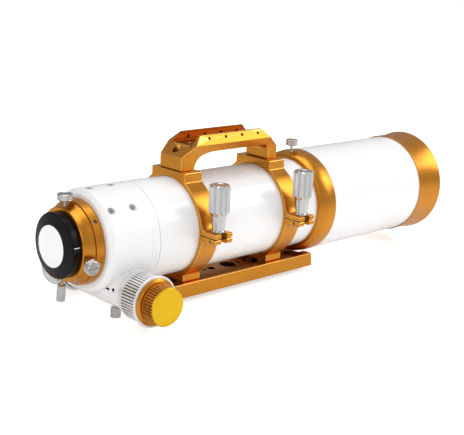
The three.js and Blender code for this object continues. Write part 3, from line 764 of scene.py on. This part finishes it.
def carry_handle():
    """The faceted handle bar with its accessory channel and tapped holes."""
    bar = common(prism(handle_side(), -26, 26, "yz"), prism(mirrored(HANDLE_HALF), -5, 160))
    tools = [prism(mirrored(SHOE_HALF), -10, 165)]
    tools += [hole(1.9, -5, 1.2, axis, at, 0.35) for axis, at in handle_holes()]
    for y in RING_STARTS.values():
        tools.append(rod(3.2, 60, 80, Z, (0, y + 12.5, 0), SMALL))
        tools.append(rod(5.4, 72, 95, Z, (0, y + 12.5, 0), SMALL))
    tools += [hole(1.7, 80.6, 89, Z, (0, y, 0)) for y in (30, 125)]
    piece = stand_for("carry_handle", carved(softened(bar, 0.8, 2, 15), *tools))
    paint_edge_highlights(piece)
    paint(piece, "gold_shadow", lambda p: abs(p.x) < 17.02 and 89.2 < p.z < 99.7)
    for axis, at in handle_holes():
        paint(piece, "hole_shade", lambda p: from_line(p, axis, at) < 1.93 and -6 < (p - at).dot(axis) < -0.2)


# ---- focuser ----
PAD_ANGLES = {"left": 135, "top": 90, "right": 45}
PAD_SCREW_Y = {"rear": -105, "front": -78}
POCKET_R = 11.4


def focuser_body():
    """The white focuser casting with its guide-screw pockets and the slot for the rack."""
    shell = turned(eased([
        (36.4, -115.9), (50, -115.9, 0.8), (BODY_R, -111.6, 2.2), (BODY_R, -63.05, 0.1), (54.72, -62.7, 0),
        (BODY_R, -62.35, 0.1), (54.6, -59.8, 1.2), (BODY_R, -56.6, 0.6), (BODY_R, -53, 0.35), (36.4, -53),
        (36.4, -60), (46, -66), (46, -108), (36.4, -110)], 0.3, 4))
    wall = turned([(36.4, -110), (50, -110), (50, -60), (36.4, -60)])
    support = common(rod(12, -40, 40, X, PINION_AT), wall)
    tools = [block(-5, 5, -117, -52, -40.9, -34), rod(POCKET_R, -5, 5, X, PINION_AT, SMALL)]
    tools.append(rod(4, -70, 70, X, PINION_AT, SMALL))
    for angle in PAD_ANGLES.values():
        for y in PAD_SCREW_Y.values():
            tools.append(hole(4.1, 50.7, 54.9, radial(angle), (0, y, 0), 0.3, SMALL))
            tools.append(rod(2.2, 40, 60, radial(angle), (0, y, 0), 32))
    piece = stand_for("focuser_body", carved(fused(shell, support), *tools))
    paint(piece, "flat_black", lambda p: math.hypot(p.x, p.z) < 46.5 and p.y > -115.5)


def pad_screws():
    """The six recessed screws that set the guide pads."""
    for side, angle in PAD_ANGLES.items():
        for end, y in PAD_SCREW_Y.items():
            shape = cap_screw(1.9, 3.7, 54.4, 51, 39.9, radial(angle), (0, y, 0), 3, 2)
            piece = stand_for(f"{side}_{end}_pad_screw", shape)
            paint(piece, "nickel_steel", lambda p: True)


HOUSING_R = 20.8
HOUSING_END = 50.3
HOUSING_PLACE = aimed(X, PINION_AT)
BLEND = 7.0
BLEND_REACH = 5.6
FILM = 0.05
REAR_CHAMFER_Y = -111.6
REAR_CHAMFER_SLOPE = 1.163
BUSHING_R = 6
BUSHING_INNER = 35
HOUSING_SCREWS = {"inner": 34, "outer": 40.3}
SET_SCREW_AXIS = Vector((0, -0.975, 0.22)).normalized()
LOCK_SCREW_AT = (26.2, -88.1, 0)


def blended_distance(p):
    """Signed distance to the housing's cylinder and the focuser body, joined with a soft fillet."""
    housing = math.hypot(p.y - PINION_Y, p.z - PINION_Z) - HOUSING_R
    radius = BODY_R + FILM - max(0, REAR_CHAMFER_Y - p.y) * REAR_CHAMFER_SLOPE
    casting = math.hypot(p.x, p.z) - radius
    h = max(BLEND - abs(housing - casting), 0) / BLEND
    return min(housing, casting) - h * h * BLEND / 4


def housing_relief(angle, radius, height):
    """How far the blended surface lies inside the housing's greatest reach."""
    outward = Vector((math.cos(angle), math.sin(angle), 0))
    low = HOUSING_R - 1
    high = radius
    for _ in range(14):
        middle = (low + high) / 2
        if blended_distance(HOUSING_PLACE @ (outward * middle + Z * height)) < 0:
            low = middle
        else:
            high = middle
    return radius - high


def pinion_housing():
    """The cross housing under the focuser, with a fillet where it meets the casting."""
    reach = HOUSING_R + BLEND_REACH
    count = 92
    side = [(reach, HOUSING_END * (2 * i / count - 1)) for i in range(count + 1)]
    shape = turned([(0, -HOUSING_END), *side, (0, HOUSING_END)], X, PINION_AT, 144, housing_relief)
    casting = turned([(0, -125), (39.4, -125), (BODY_R, REAR_CHAMFER_Y), (BODY_R, -50), (0, -50)])
    tools = [casting, rod(BUSHING_R + 0.3, -70, 70, X, PINION_AT, SMALL)]
    tools.append(rod(POCKET_R, -5, 5, X, PINION_AT, SMALL))
    tools.append(hole(2.3, 48, 69.6, -Z, LOCK_SCREW_AT, 0.3))
    for x in HOUSING_SCREWS.values():
        tools.append(rod(1.75, 12, 27, SET_SCREW_AXIS, (x, PINION_Y, PINION_Z), 32))
    piece = stand_for("pinion_housing", carved(shape, *tools), 40)
    # The bore walls above the set screws are painted flat black, a painted shade in the holes.
    for x in HOUSING_SCREWS.values():
        at = (x, PINION_Y, PINION_Z)
        bore = from_line_test(SET_SCREW_AXIS, at, 1.8)
        paint(piece, "flat_black", lambda p: bore(p) and 12 < from_pinion(p) < 22)




def housing_hardware():
    """The set screws, bushings and lock screw of the pinion housing."""
    for place, x in HOUSING_SCREWS.items():
        at = (x, PINION_Y, PINION_Z)
        profile = [(0, 13), (1.2, 13)] + threaded(1.45, 13.4, 19.2, 0.7, 0.22) + [(1.45, 19.6), (0, 19.6)]
        body = turned(eased(profile, 0.2, 2), SET_SCREW_AXIS, at, SMALL)
        shape = carved(body, hexagon(1.3, 18.4, 21, SET_SCREW_AXIS, at))
        stand_for(place + "_housing_screw", shape)
    for side, low, high in (("left", -HOUSING_END, -BUSHING_INNER), ("right", BUSHING_INNER, HOUSING_END)):
        profile = eased([(KNOB_BORE_R, low), (BUSHING_R, low), (BUSHING_R, high), (KNOB_BORE_R, high)], 0.4)
        stand_for(side + "_pinion_bushing", turned(profile, X, PINION_AT, SMALL))
    stand_for("focus_lock_screw", thumbscrew(2, 55, 5.5, 70.6, 81.4, -Z, LOCK_SCREW_AT, 26))


# ---- drawtube and visual back ----
def drawtube():
    """The drawtube with baffling threads inside and a flat for the rack."""
    threads = [(r, h) for r, h, _ in threaded(33.35, -25, -118, 1.5, -0.35)]
    wall = turned([
        (33, -126), (36, -126), (36, -5.3), (35.7, -5), (33.3, -5), (33, -5.3), (33.35, -24), *threads,
        (33.35, -119), (33, -119.5)], steps=144)
    piece = stand_for("drawtube", carved(wall, block(-4.8, 4.8, -116, -7.5, -38, -34.3)))
    paint(piece, "flat_black", inside(34.5))


def drawtube_flange():
    """The gold flange on the drawtube, with the visual back's small set screw."""
    profile = eased([
        (36.3, -126.2), (44.4, -126.2, 0.5), (45.5, -117.2, 0.4), (45, -116.3, 0.3), (36.3, -116.3)], 0.3)
    at = (0, -121.3, 0)
    ring = carved(turned(profile), hole(2.1, 40, 45, radial(40.5), at, 0.25))
    stand_for("drawtube_flange", ring)
    body = turned(eased([(0, 41), (1.5, 41), (1.5, 44.2), (0, 44.2)], 0.2), radial(40.5), at, SMALL)
    shape = carved(body, hexagon(1.5, 42.8, 46, radial(40.5), at))
    show("flange_set_screw", shape, BODY_OF["drawtube_flange"], "black_steel")


BACK_SCREWS = {
    "top": (90, 8, 46.3, 53, 36), "side": (-15, 8, 46.3, 53, 36), "bottom": (-97, 4.6, 45.8, 64, 24)}


def visual_back():
    """The gold visual back: a hollowed cone with a groove for the compression ring."""
    profile = eased([
        (25.6, -138.6, 0.5), (38.2, -138.6, 0.4), (38.9, -137.8, 0.4), (40, -133.2, 2.5), (43.2, -127.4, 0.8),
        (43.2, -126.6, 0.2), (32.6, -126.6, 0.2), (32.6, -116.5), (25.6, -116.5), (25.6, -131), (27.2, -131),
        (27.2, -137.2), (25.6, -137.2)], 0.15, 4)
    at = (0, BACK_SCREW_Y, 0)
    holes = [hole(1.9, 20, 40.2, radial(screw[0]), at, 0.35) for screw in BACK_SCREWS.values()]
    stand_for("visual_back", carved(turned(profile), *holes))
    for place, (angle, head, low, high, teeth) in BACK_SCREWS.items():
        slot = 0 if place == "bottom" else 0.9
        shape = thumbscrew(1.6, 27.25, head, low, high, radial(angle), at, teeth, slot)
        stand_for(place + "_back_thumbscrew", shape)
    band = turned(eased([(25.65, -136.8), (26.9, -136.8), (26.9, -131.4), (25.65, -131.4)], 0.15))
    stand_for("compression_ring", carved(band, block(-1.5, 1.5, -140, -130, 20, 30)))


def eyepiece_adapter():
    """The black adapter with its pale index mark."""
    profile = eased([
        (16.2, -150.4, 0.4), (22.6, -150.4, 0.3), (33.6, -148.2, 0.8), (34.7, -147.2, 0.7),
        (34.7, -139.4, 0.4), (34.2, -138.9, 0.2), (25.3, -138.9, 0.2), (25.3, -132.4, 0.3),
        (24.9, -132, 0.2), (24.9, -118.6, 0.2),
        (25.3, -118.2, 0.3), (25.3, -113.2, 0.5), (16.2, -113.2, 0.4)], 0.2)
    stand_for("eyepiece_adapter", turned(profile))
    mark = block(34.3, 34.78, -146.2, -139.8, -0.35, 0.35)
    mark.transform(Matrix.Rotation(math.radians(-8.5), 4, Y))
    show("adapter_index_mark", mark, BODY_OF["eyepiece_adapter"], "white_plastic")


def dust_plug():
    """The white plug: a face with a soft rim and a shallow dish, on a hollow barrel."""
    profile = eased([
        (0, -151.5), (17.6, -151.5, 1.5), (18.6, -152, 0.6), (21.3, -152, 0.4), (21.9, -151.5, 0.4),
        (21.9, -150.7, 0.15), (15.9, -150.7, 0.2), (15.9, -130, 0.4), (13.8, -130, 0.3), (13.8, -148.5, 0.5),
        (0, -148.5)], 0.2)
    stand_for("dust_plug", turned(profile, steps=144))


# ---- focus knobs ----
COARSE_RIBS = 50
COARSE_R = 25.4
FLANGE_R = 27.4
NECK_R = 23
KNOB_HUB_R = 8
KNOB_HOLLOW_R = 21.7
KNOB_INNER_END = 50.6
KNOB_OUTER_END = 84.1
RIB_DEPTH = 1.3
STEPS_PER_RIB = 8


GRIP_START = {"left": 52.6, "right": 59.6}
GRIP_END = 81.2


def coarse_grip(side):
    """The outside of a coarse knob: neck, inner rim, grip and thin flange, heights from the middle."""
    start = GRIP_START[side]
    return [
        (NECK_R, KNOB_INNER_END, 0.4), (NECK_R, start - 1.6, 0.2), (25, start - 1.2, 0.2),
        (COARSE_R, start - 0.8, 0.1), (COARSE_R, start, 0), (COARSE_R, GRIP_END, 0),
        (25.6, GRIP_END + 0.4, 0.1), (FLANGE_R, 82, 0.3), (FLANGE_R, 83.3, 0.4),
        (26.7, KNOB_OUTER_END, 0.4)]


def in_rib_gap(side):
    """A test for points on the floor between two ribs of a coarse knob."""
    start = GRIP_START[side] + 0.1
    return lambda p: from_pinion(p) < 24.8 and start < abs(p.x) < GRIP_END - 0.1


def from_pinion(p):
    """A point's distance from the pinion's axis."""
    return math.hypot(p.y - PINION_Y, p.z - PINION_Z)


def coarse_knob(side, axis, profile):
    """One ribbed coarse knob from its lathe profile."""
    relief = ribbed(COARSE_RIBS, RIB_DEPTH, GRIP_START[side], GRIP_END, 0.5)
    shape = turned(eased(profile, 0.3), axis, PINION_AT, COARSE_RIBS * STEPS_PER_RIB, relief)
    knob = stand_for(side + "_coarse_knob", shape)
    # The floors between the ribs take the dark gap finish, a painted shade.
    paint(knob, "rib_gap_shade", in_rib_gap(side))


def coarse_knobs():
    """Both ribbed coarse knobs: the right one holds the fine knob, the left one has a dished face."""
    coarse_knob("right", X, [
        (KNOB_BORE_R, KNOB_INNER_END), *coarse_grip("right"), (KNOB_HOLLOW_R, KNOB_OUTER_END, 0.4),
        (KNOB_HOLLOW_R, 63), (KNOB_HUB_R, 63), (KNOB_HUB_R, 79), (KNOB_BORE_R, 79)])
    coarse_knob("left", -X, [
        (0, 80), (KNOB_BORE_R, 80), (KNOB_BORE_R, 51.6), (KNOB_HUB_R, 51.6), (KNOB_HUB_R, 79),
        (KNOB_HOLLOW_R, 79), (KNOB_HOLLOW_R, KNOB_INNER_END), *coarse_grip("left"),
        (17, KNOB_OUTER_END, 0.6), (16, 83.3, 0.8), (0, 83.3)])


FINE_RIBS = 42
FINE_R = 20.7
FINE_FACE = 102.6


def fine_groove(p):
    """Whether a point lies deep between two ribs of the fine knob."""
    return from_pinion(p) < FINE_R - 0.55 and 88.4 < p.x < FINE_FACE


def fine_knob():
    """The reducer's gold ring and the ribbed fine knob with its plain face."""
    cap = eased([
        (4, 80), (21.4, 80), (21.4, 84.4), (25, 84.4, 0.15), (25, 84.9, 0.25), (22.6, 86.3, 0.3),
        (22.2, 86.9, 0.3), (4, 86.9)], 0.3)
    stand_for("reducer_cap", turned(cap, X, PINION_AT))
    profile = eased([
        (0, 79.4), (2.6, 79.4), (2.6, 87.2), (20.3, 87.2, 0.3), (FINE_R, 87.8, 0.2),
        *rows(FINE_R, 88.4, 102.2, 3), (FINE_R, 102.7, 0), (19.7, 104, 0.2), (19.3, 104.2, 0.15),
        (17.8, 104.2, 0.2), (17.5, 104, 0.2), (0, 104)], 0.3, 3)
    ribs = fluted(FINE_RIBS, 0.95, 88, 104, 1.3, 19)
    knob = stand_for("fine_knob", turned(profile, X, PINION_AT, FINE_RIBS * STEPS_PER_RIB, ribs), 40)
    paint(knob, "gold_anodised", lambda p: p.x < FINE_FACE)
    paint(knob, "gold_shadow", fine_groove)


# ---- tube and lens ----
def main_tubes():
    """The tail adapter and the main tube, with soft ends."""
    tail = eased([
        (46, -52.7), (BODY_R, -52.7, 0.35), (BODY_R, -28.6, 0.35), (52.1, -28.6), (52.1, -8), (48, -8),
        (48, -22), (46, -26)], 0.3)
    paint(stand_for("tail_adapter", turned(tail)), "flat_black", inside(51))
    wall = eased([
        (TUBE_BORE_R, TUBE_REAR), (TUBE_R, TUBE_REAR), (TUBE_R, TUBE_FRONT), (TUBE_BORE_R, TUBE_FRONT)], 0.35)
    paint(stand_for("main_tube", turned(wall)), "flat_black", inside(53.2))
    knife = [(41.2, 199), (52.1, 199), (52.1, 200.5), (42.5, 200.5), (41, 199.5)]
    stand_for("tube_baffle", turned(knife))


def lens_profile(rim_rear, rim_front, bulge_rear, bulge_front):
    """A lens with a ground bevel at its rim, its faces bulging by the given amounts."""
    steps = [i / 14 for i in range(15)]
    rear = [(50.9 * s * 0.992, rim_rear - bulge_rear * (1 - s * s)) for s in steps]
    front = [(50.9 * s * 0.992, rim_front + bulge_front * (1 - s * s)) for s in reversed(steps)]
    return [*rear, (50.9, rim_rear + 0.4), (50.9, rim_front - 0.4), *front]


def lens_group():
    """The cell, both lenses, the spacer and the retaining ring."""
    cell = eased([
        (48.5, 372), (52.1, 372), (52.1, 388.3), (59.5, 388.3), (59.5, 413), (58.5, 414), (51.3, 414),
        (51.3, 394), (48.5, 394)], 0.4)
    stand_for("lens_cell", turned(cell))
    stand_for("objective_flint", turned(lens_profile(394.3, 402.6, 0.5, -3.3)))
    stand_for("objective_crown", turned(lens_profile(403.8, 408.5, 3.2, 3)))
    stand_for("lens_spacer", turned([(49.4, 402.9), (50.8, 402.9), (50.8, 403.5), (49.4, 403.5)]))
    ring = turned(eased([(49.2, 408.8), (51, 408.8), (51, 413.6), (50, 413.6), (49.2, 412.4)], 0.25))
    notches = [block(48, 52, 412.4, 415, -1.5, 1.5), block(-52, -48, 412.4, 415, -1.5, 1.5)]
    stand_for("lens_retaining_ring", carved(ring, *notches))


# ---- dew shield ----
DEW_LOCK_Y = 196


def collar_profile():
    """The collar: a convex outside, and a step inside that holds the felt."""
    points = [(54.6, 188.7, 0.3), (55.6, 188.7, 0.2)]
    for i in range(1, 19):
        a = math.pi / 2 * i / 18
        points.append((55.6 + 8.1 * math.sin(a), 206.5 - 17.8 * math.cos(a), 0))
    points += [(63.6, 210.3, 0), (63.45, 213, 0.2), (63.2, 213.5, 0.3)]
    return points + [
        (61.1, 213.5), (61.1, 222), (59.2, 222), (59.2, 201.2), (56.2, 201.2), (56.2, 190.8), (54.6, 190.8)]


def dew_shield():
    """The sliding dew shield: tube, collar, felt, front ring and lock screw."""
    wall = eased([(61.4, 213.8), (63, 213.8), (63, 420.8), (61.4, 420.8)], 0.3)
    paint(stand_for("dew_shield_tube", turned(wall)), "flat_black", inside(62.2))
    collar = carved(
        turned(eased(collar_profile(), 0.3)), hole(1.9, 50, 62.6, Z, (0, DEW_LOCK_Y, 0), 0.3))
    stand_for("dew_shield_collar", collar)

    def nap(angle, radius, height):
        return 0.06 * math.sin(37 * angle + 5 * height) * math.sin(91 * angle - 3 * height)

    lining = [(54.5, 191.1), (55.8, 191.1), (55.8, 200.9), *rows_only(54.55, 200.4, 191.6, 1)]
    stand_for("dew_shield_felt", turned(lining, steps=FINE, relief=nap))
    ring = eased([
        (63.3, 381.3, 0.3), (64.4, 381.3, 0.3), (64.3, 386, 0), (64.2, 392, 0), (64.2, 398, 0),
        (64.4, 405, 0), (64.8, 412, 0), (65.4, 418, 0), (66.3, 422.6, 0.5), (66.3, 423.8, 0.4),
        (61.6, 423.8, 0.4), (61.6, 421.1), (63.3, 421.1)], 0.3)
    stand_for("dew_shield_front_ring", turned(ring))
    dew_lock()


def rows_only(radius, low, high, step):
    """Plain profile points at one radius."""
    return [(r, h) for r, h, _ in rows(radius, low, high, step)]


def dew_lock():
    """The dew shield's lock screw, its head cut with coarse straight ribs."""
    profile = stud_profile(1.6, 56.3, 69.5)
    profile += [(1.6, 69.5), (4.4, 69.5, 0.3), (4.4, 70.3, 0.2), (6.6, 70.3, 0.3), *rows(7.2, 70.9, 76.9, 3)]
    profile += [(6.6, 77.6, 0.3), (5, 77.6, 0.3), (4.5, 77.1, 0.3), (0, 77.1)]
    ribs = fluted(22, 0.6, 70.6, 77.4, 1.4, 6.4)
    stand_for("dew_lock_screw", turned(eased(profile, 0.2, 2), Z, (0, DEW_LOCK_Y, 0), 176, ribs))


# ---- CAD nodes shown as they are ----
def dress_frame_nodes():
    """Gives every CAD node its slot's finish."""
    for name, node in frame["nodes"].items():
        node.data.materials.clear()
        node.data.materials.append(FINISHES[SLOT_OF[name]])


# ---- camera, floor and light ----
CAMERA_AT = Vector((0.8146, -0.7621, 0.3707))
CAMERA_TARGET = Vector((0, 0.0325, 0.0757))
CAMERA_LENS = 76.93
CAMERA_TURN = Vector((-0.0074, 0.006, 0.0493))


def camera():
    """The camera, looking along and down onto the telescope."""
    data = bpy.data.cameras.new("camera")
    data.lens = CAMERA_LENS
    data.sensor_width = 36
    data.clip_start = 0.05
    data.clip_end = 50
    obj = bpy.data.objects.new("camera", data)
    bpy.context.scene.collection.objects.link(obj)
    turn = (CAMERA_TARGET - CAMERA_AT).to_track_quat("-Z", "Y").to_matrix().to_4x4()
    small = Matrix.Rotation(CAMERA_TURN.length, 4, CAMERA_TURN)
    obj.matrix_world = Matrix.Translation(CAMERA_AT) @ turn @ small
    bpy.context.scene.camera = obj


FLOOR_COLOUR = (0.8, 0.79, 0.78)
FLOOR_GLOW = 0.6
FLOOR_BOUNCE = 0.5
FLOOR_ROUGHNESS = 0.35
FLOOR_WARMTH = (1, 0.985, 0.965)


def floor():
    """A plain pale floor."""
    bm = bmesh.new()
    bmesh.ops.create_grid(bm, x_segments=1, y_segments=1, size=8)
    mesh = bpy.data.meshes.new("floor")
    bm.to_mesh(mesh)
    bm.free()
    obj = bpy.data.objects.new("floor", mesh)
    bpy.context.scene.collection.objects.link(obj)
    obj.location.z = LOADED_BOUNDS[0].z
    mesh.materials.append(floor_finish())


def floor_finish():
    """A pale floor that glows for the camera, so that it stays white, and lights the undersides."""
    material = bpy.data.materials.new("floor")
    material.use_nodes = True
    tree = material.node_tree
    surface = tree.nodes["Principled BSDF"]
    surface.inputs["Base Color"].default_value = (*FLOOR_COLOUR, 1)
    surface.inputs["Roughness"].default_value = FLOOR_ROUGHNESS
    surface.inputs["Emission Color"].default_value = (*FLOOR_WARMTH, 1)
    path = tree.nodes.new("ShaderNodeLightPath")
    seen = scaled(tree, path.outputs["Is Camera Ray"], FLOOR_GLOW)
    cast = scaled(tree, path.outputs["Is Diffuse Ray"], FLOOR_BOUNCE)
    glow = tree.nodes.new("ShaderNodeMath")
    tree.links.new(seen, glow.inputs[0])
    tree.links.new(cast, glow.inputs[1])
    tree.links.new(glow.outputs["Value"], surface.inputs["Emission Strength"])
    return material


def scaled(tree, source, factor):
    """A value times a factor."""
    product = tree.nodes.new("ShaderNodeMath")
    product.operation = "MULTIPLY"
    product.inputs[1].default_value = factor
    tree.links.new(source, product.inputs[0])
    return product.outputs["Value"]


def area_light(name, at, target, size, power):
    """A soft square light aimed at a point."""
    data = bpy.data.lights.new(name, "AREA")
    data.shape = "RECTANGLE"
    data.size, data.size_y = size
    data.energy = power
    obj = bpy.data.objects.new(name, data)
    bpy.context.scene.collection.objects.link(obj)
    turn = (Vector(target) - Vector(at)).to_track_quat("-Z", "Y").to_matrix().to_4x4()
    obj.matrix_world = Matrix.Translation(at) @ turn
    obj.visible_camera = False


WORLD_BRIGHT_SIDE = Vector((0.55, 0.15, 0.82))
WORLD_DARK = (0.5, 0.5, 0.5)
WORLD_LIGHT = (0.9, 0.9, 0.9)
REFLECTED_SHARE = 0.55


def world():
    """A white surround for the camera, a graded one for light, and a darker one for reflections."""
    surround = bpy.data.worlds.new("surround")
    bpy.context.scene.world = surround
    surround.use_nodes = True
    tree = surround.node_tree
    tree.nodes.clear()
    output = tree.nodes.new("ShaderNodeOutputWorld")
    mix = tree.nodes.new("ShaderNodeMixShader")
    path = tree.nodes.new("ShaderNodeLightPath")
    seen = added(tree, "ShaderNodeBackground", Color=(1, 1, 1, 1), Strength=1.0)
    light = added(tree, "ShaderNodeBackground")
    tree.links.new(graded(tree), light.inputs["Color"])
    tree.links.new(dimmed(tree, path.outputs["Is Glossy Ray"]), light.inputs["Strength"])
    tree.links.new(path.outputs["Is Camera Ray"], mix.inputs["Fac"])
    tree.links.new(light.outputs["Background"], mix.inputs[1])
    tree.links.new(seen.outputs["Background"], mix.inputs[2])
    tree.links.new(mix.outputs["Shader"], output.inputs["Surface"])


def graded(tree):
    """A colour that brightens towards one side of the sky."""
    ramp = tree.nodes.new("ShaderNodeValToRGB")
    place = tree.nodes.new("ShaderNodeTexCoord")
    toward = tree.nodes.new("ShaderNodeVectorMath")
    toward.operation = "DOT_PRODUCT"
    toward.inputs[1].default_value = WORLD_BRIGHT_SIDE
    tree.links.new(place.outputs["Generated"], toward.inputs[0])
    spread = tree.nodes.new("ShaderNodeMapRange")
    spread.inputs["From Min"].default_value = -1
    tree.links.new(toward.outputs["Value"], spread.inputs["Value"])
    tree.links.new(spread.outputs["Result"], ramp.inputs["Fac"])
    dark, bright = ramp.color_ramp.elements
    dark.position = 0.3
    dark.color = (*WORLD_DARK, 1)
    bright.position = 0.8
    bright.color = (*WORLD_LIGHT, 1)
    return ramp.outputs["Color"]


def dimmed(tree, glossy):
    """Full strength for plain light, and a share of it for reflections."""
    strength = tree.nodes.new("ShaderNodeMapRange")
    strength.inputs["To Min"].default_value = 1.0
    strength.inputs["To Max"].default_value = REFLECTED_SHARE
    tree.links.new(glossy, strength.inputs["Value"])
    return strength.outputs["Result"]


def lights():
    """Soft lights: above, towards the sky end, and near the camera."""
    area_light("top_light", (-0.1, -0.1, 1.7), (0, 0.05, 0.05), (1.2, 1.2), 8)
    area_light("front_light", (1.0, 1.3, 1.15), (0, 0.05, 0.08), (1.1, 0.9), 10)
    area_light("rear_light", (0.9, -1.5, 0.9), (0, -0.1, 0.05), (0.9, 0.9), 3.5)


# ---- the scene ----
def build():
    """Every piece of the telescope."""
    dress_frame_nodes()
    dovetail_plate()
    for side, y in RING_STARTS.items():
        ring_halves(side, y)
        clamp_nut(side, y)
        ring_hardware(side, y)
    carry_handle()
    focuser_body()
    pad_screws()
    pinion_housing()
    housing_hardware()
    drawtube()
    drawtube_flange()
    visual_back()
    eyepiece_adapter()
    dust_plug()
    coarse_knobs()
    fine_knob()
    main_tubes()
    lens_group()
    dew_shield()


build()
camera()
floor()
world()
lights()
bpy.context.scene.view_settings.view_transform = "Standard"
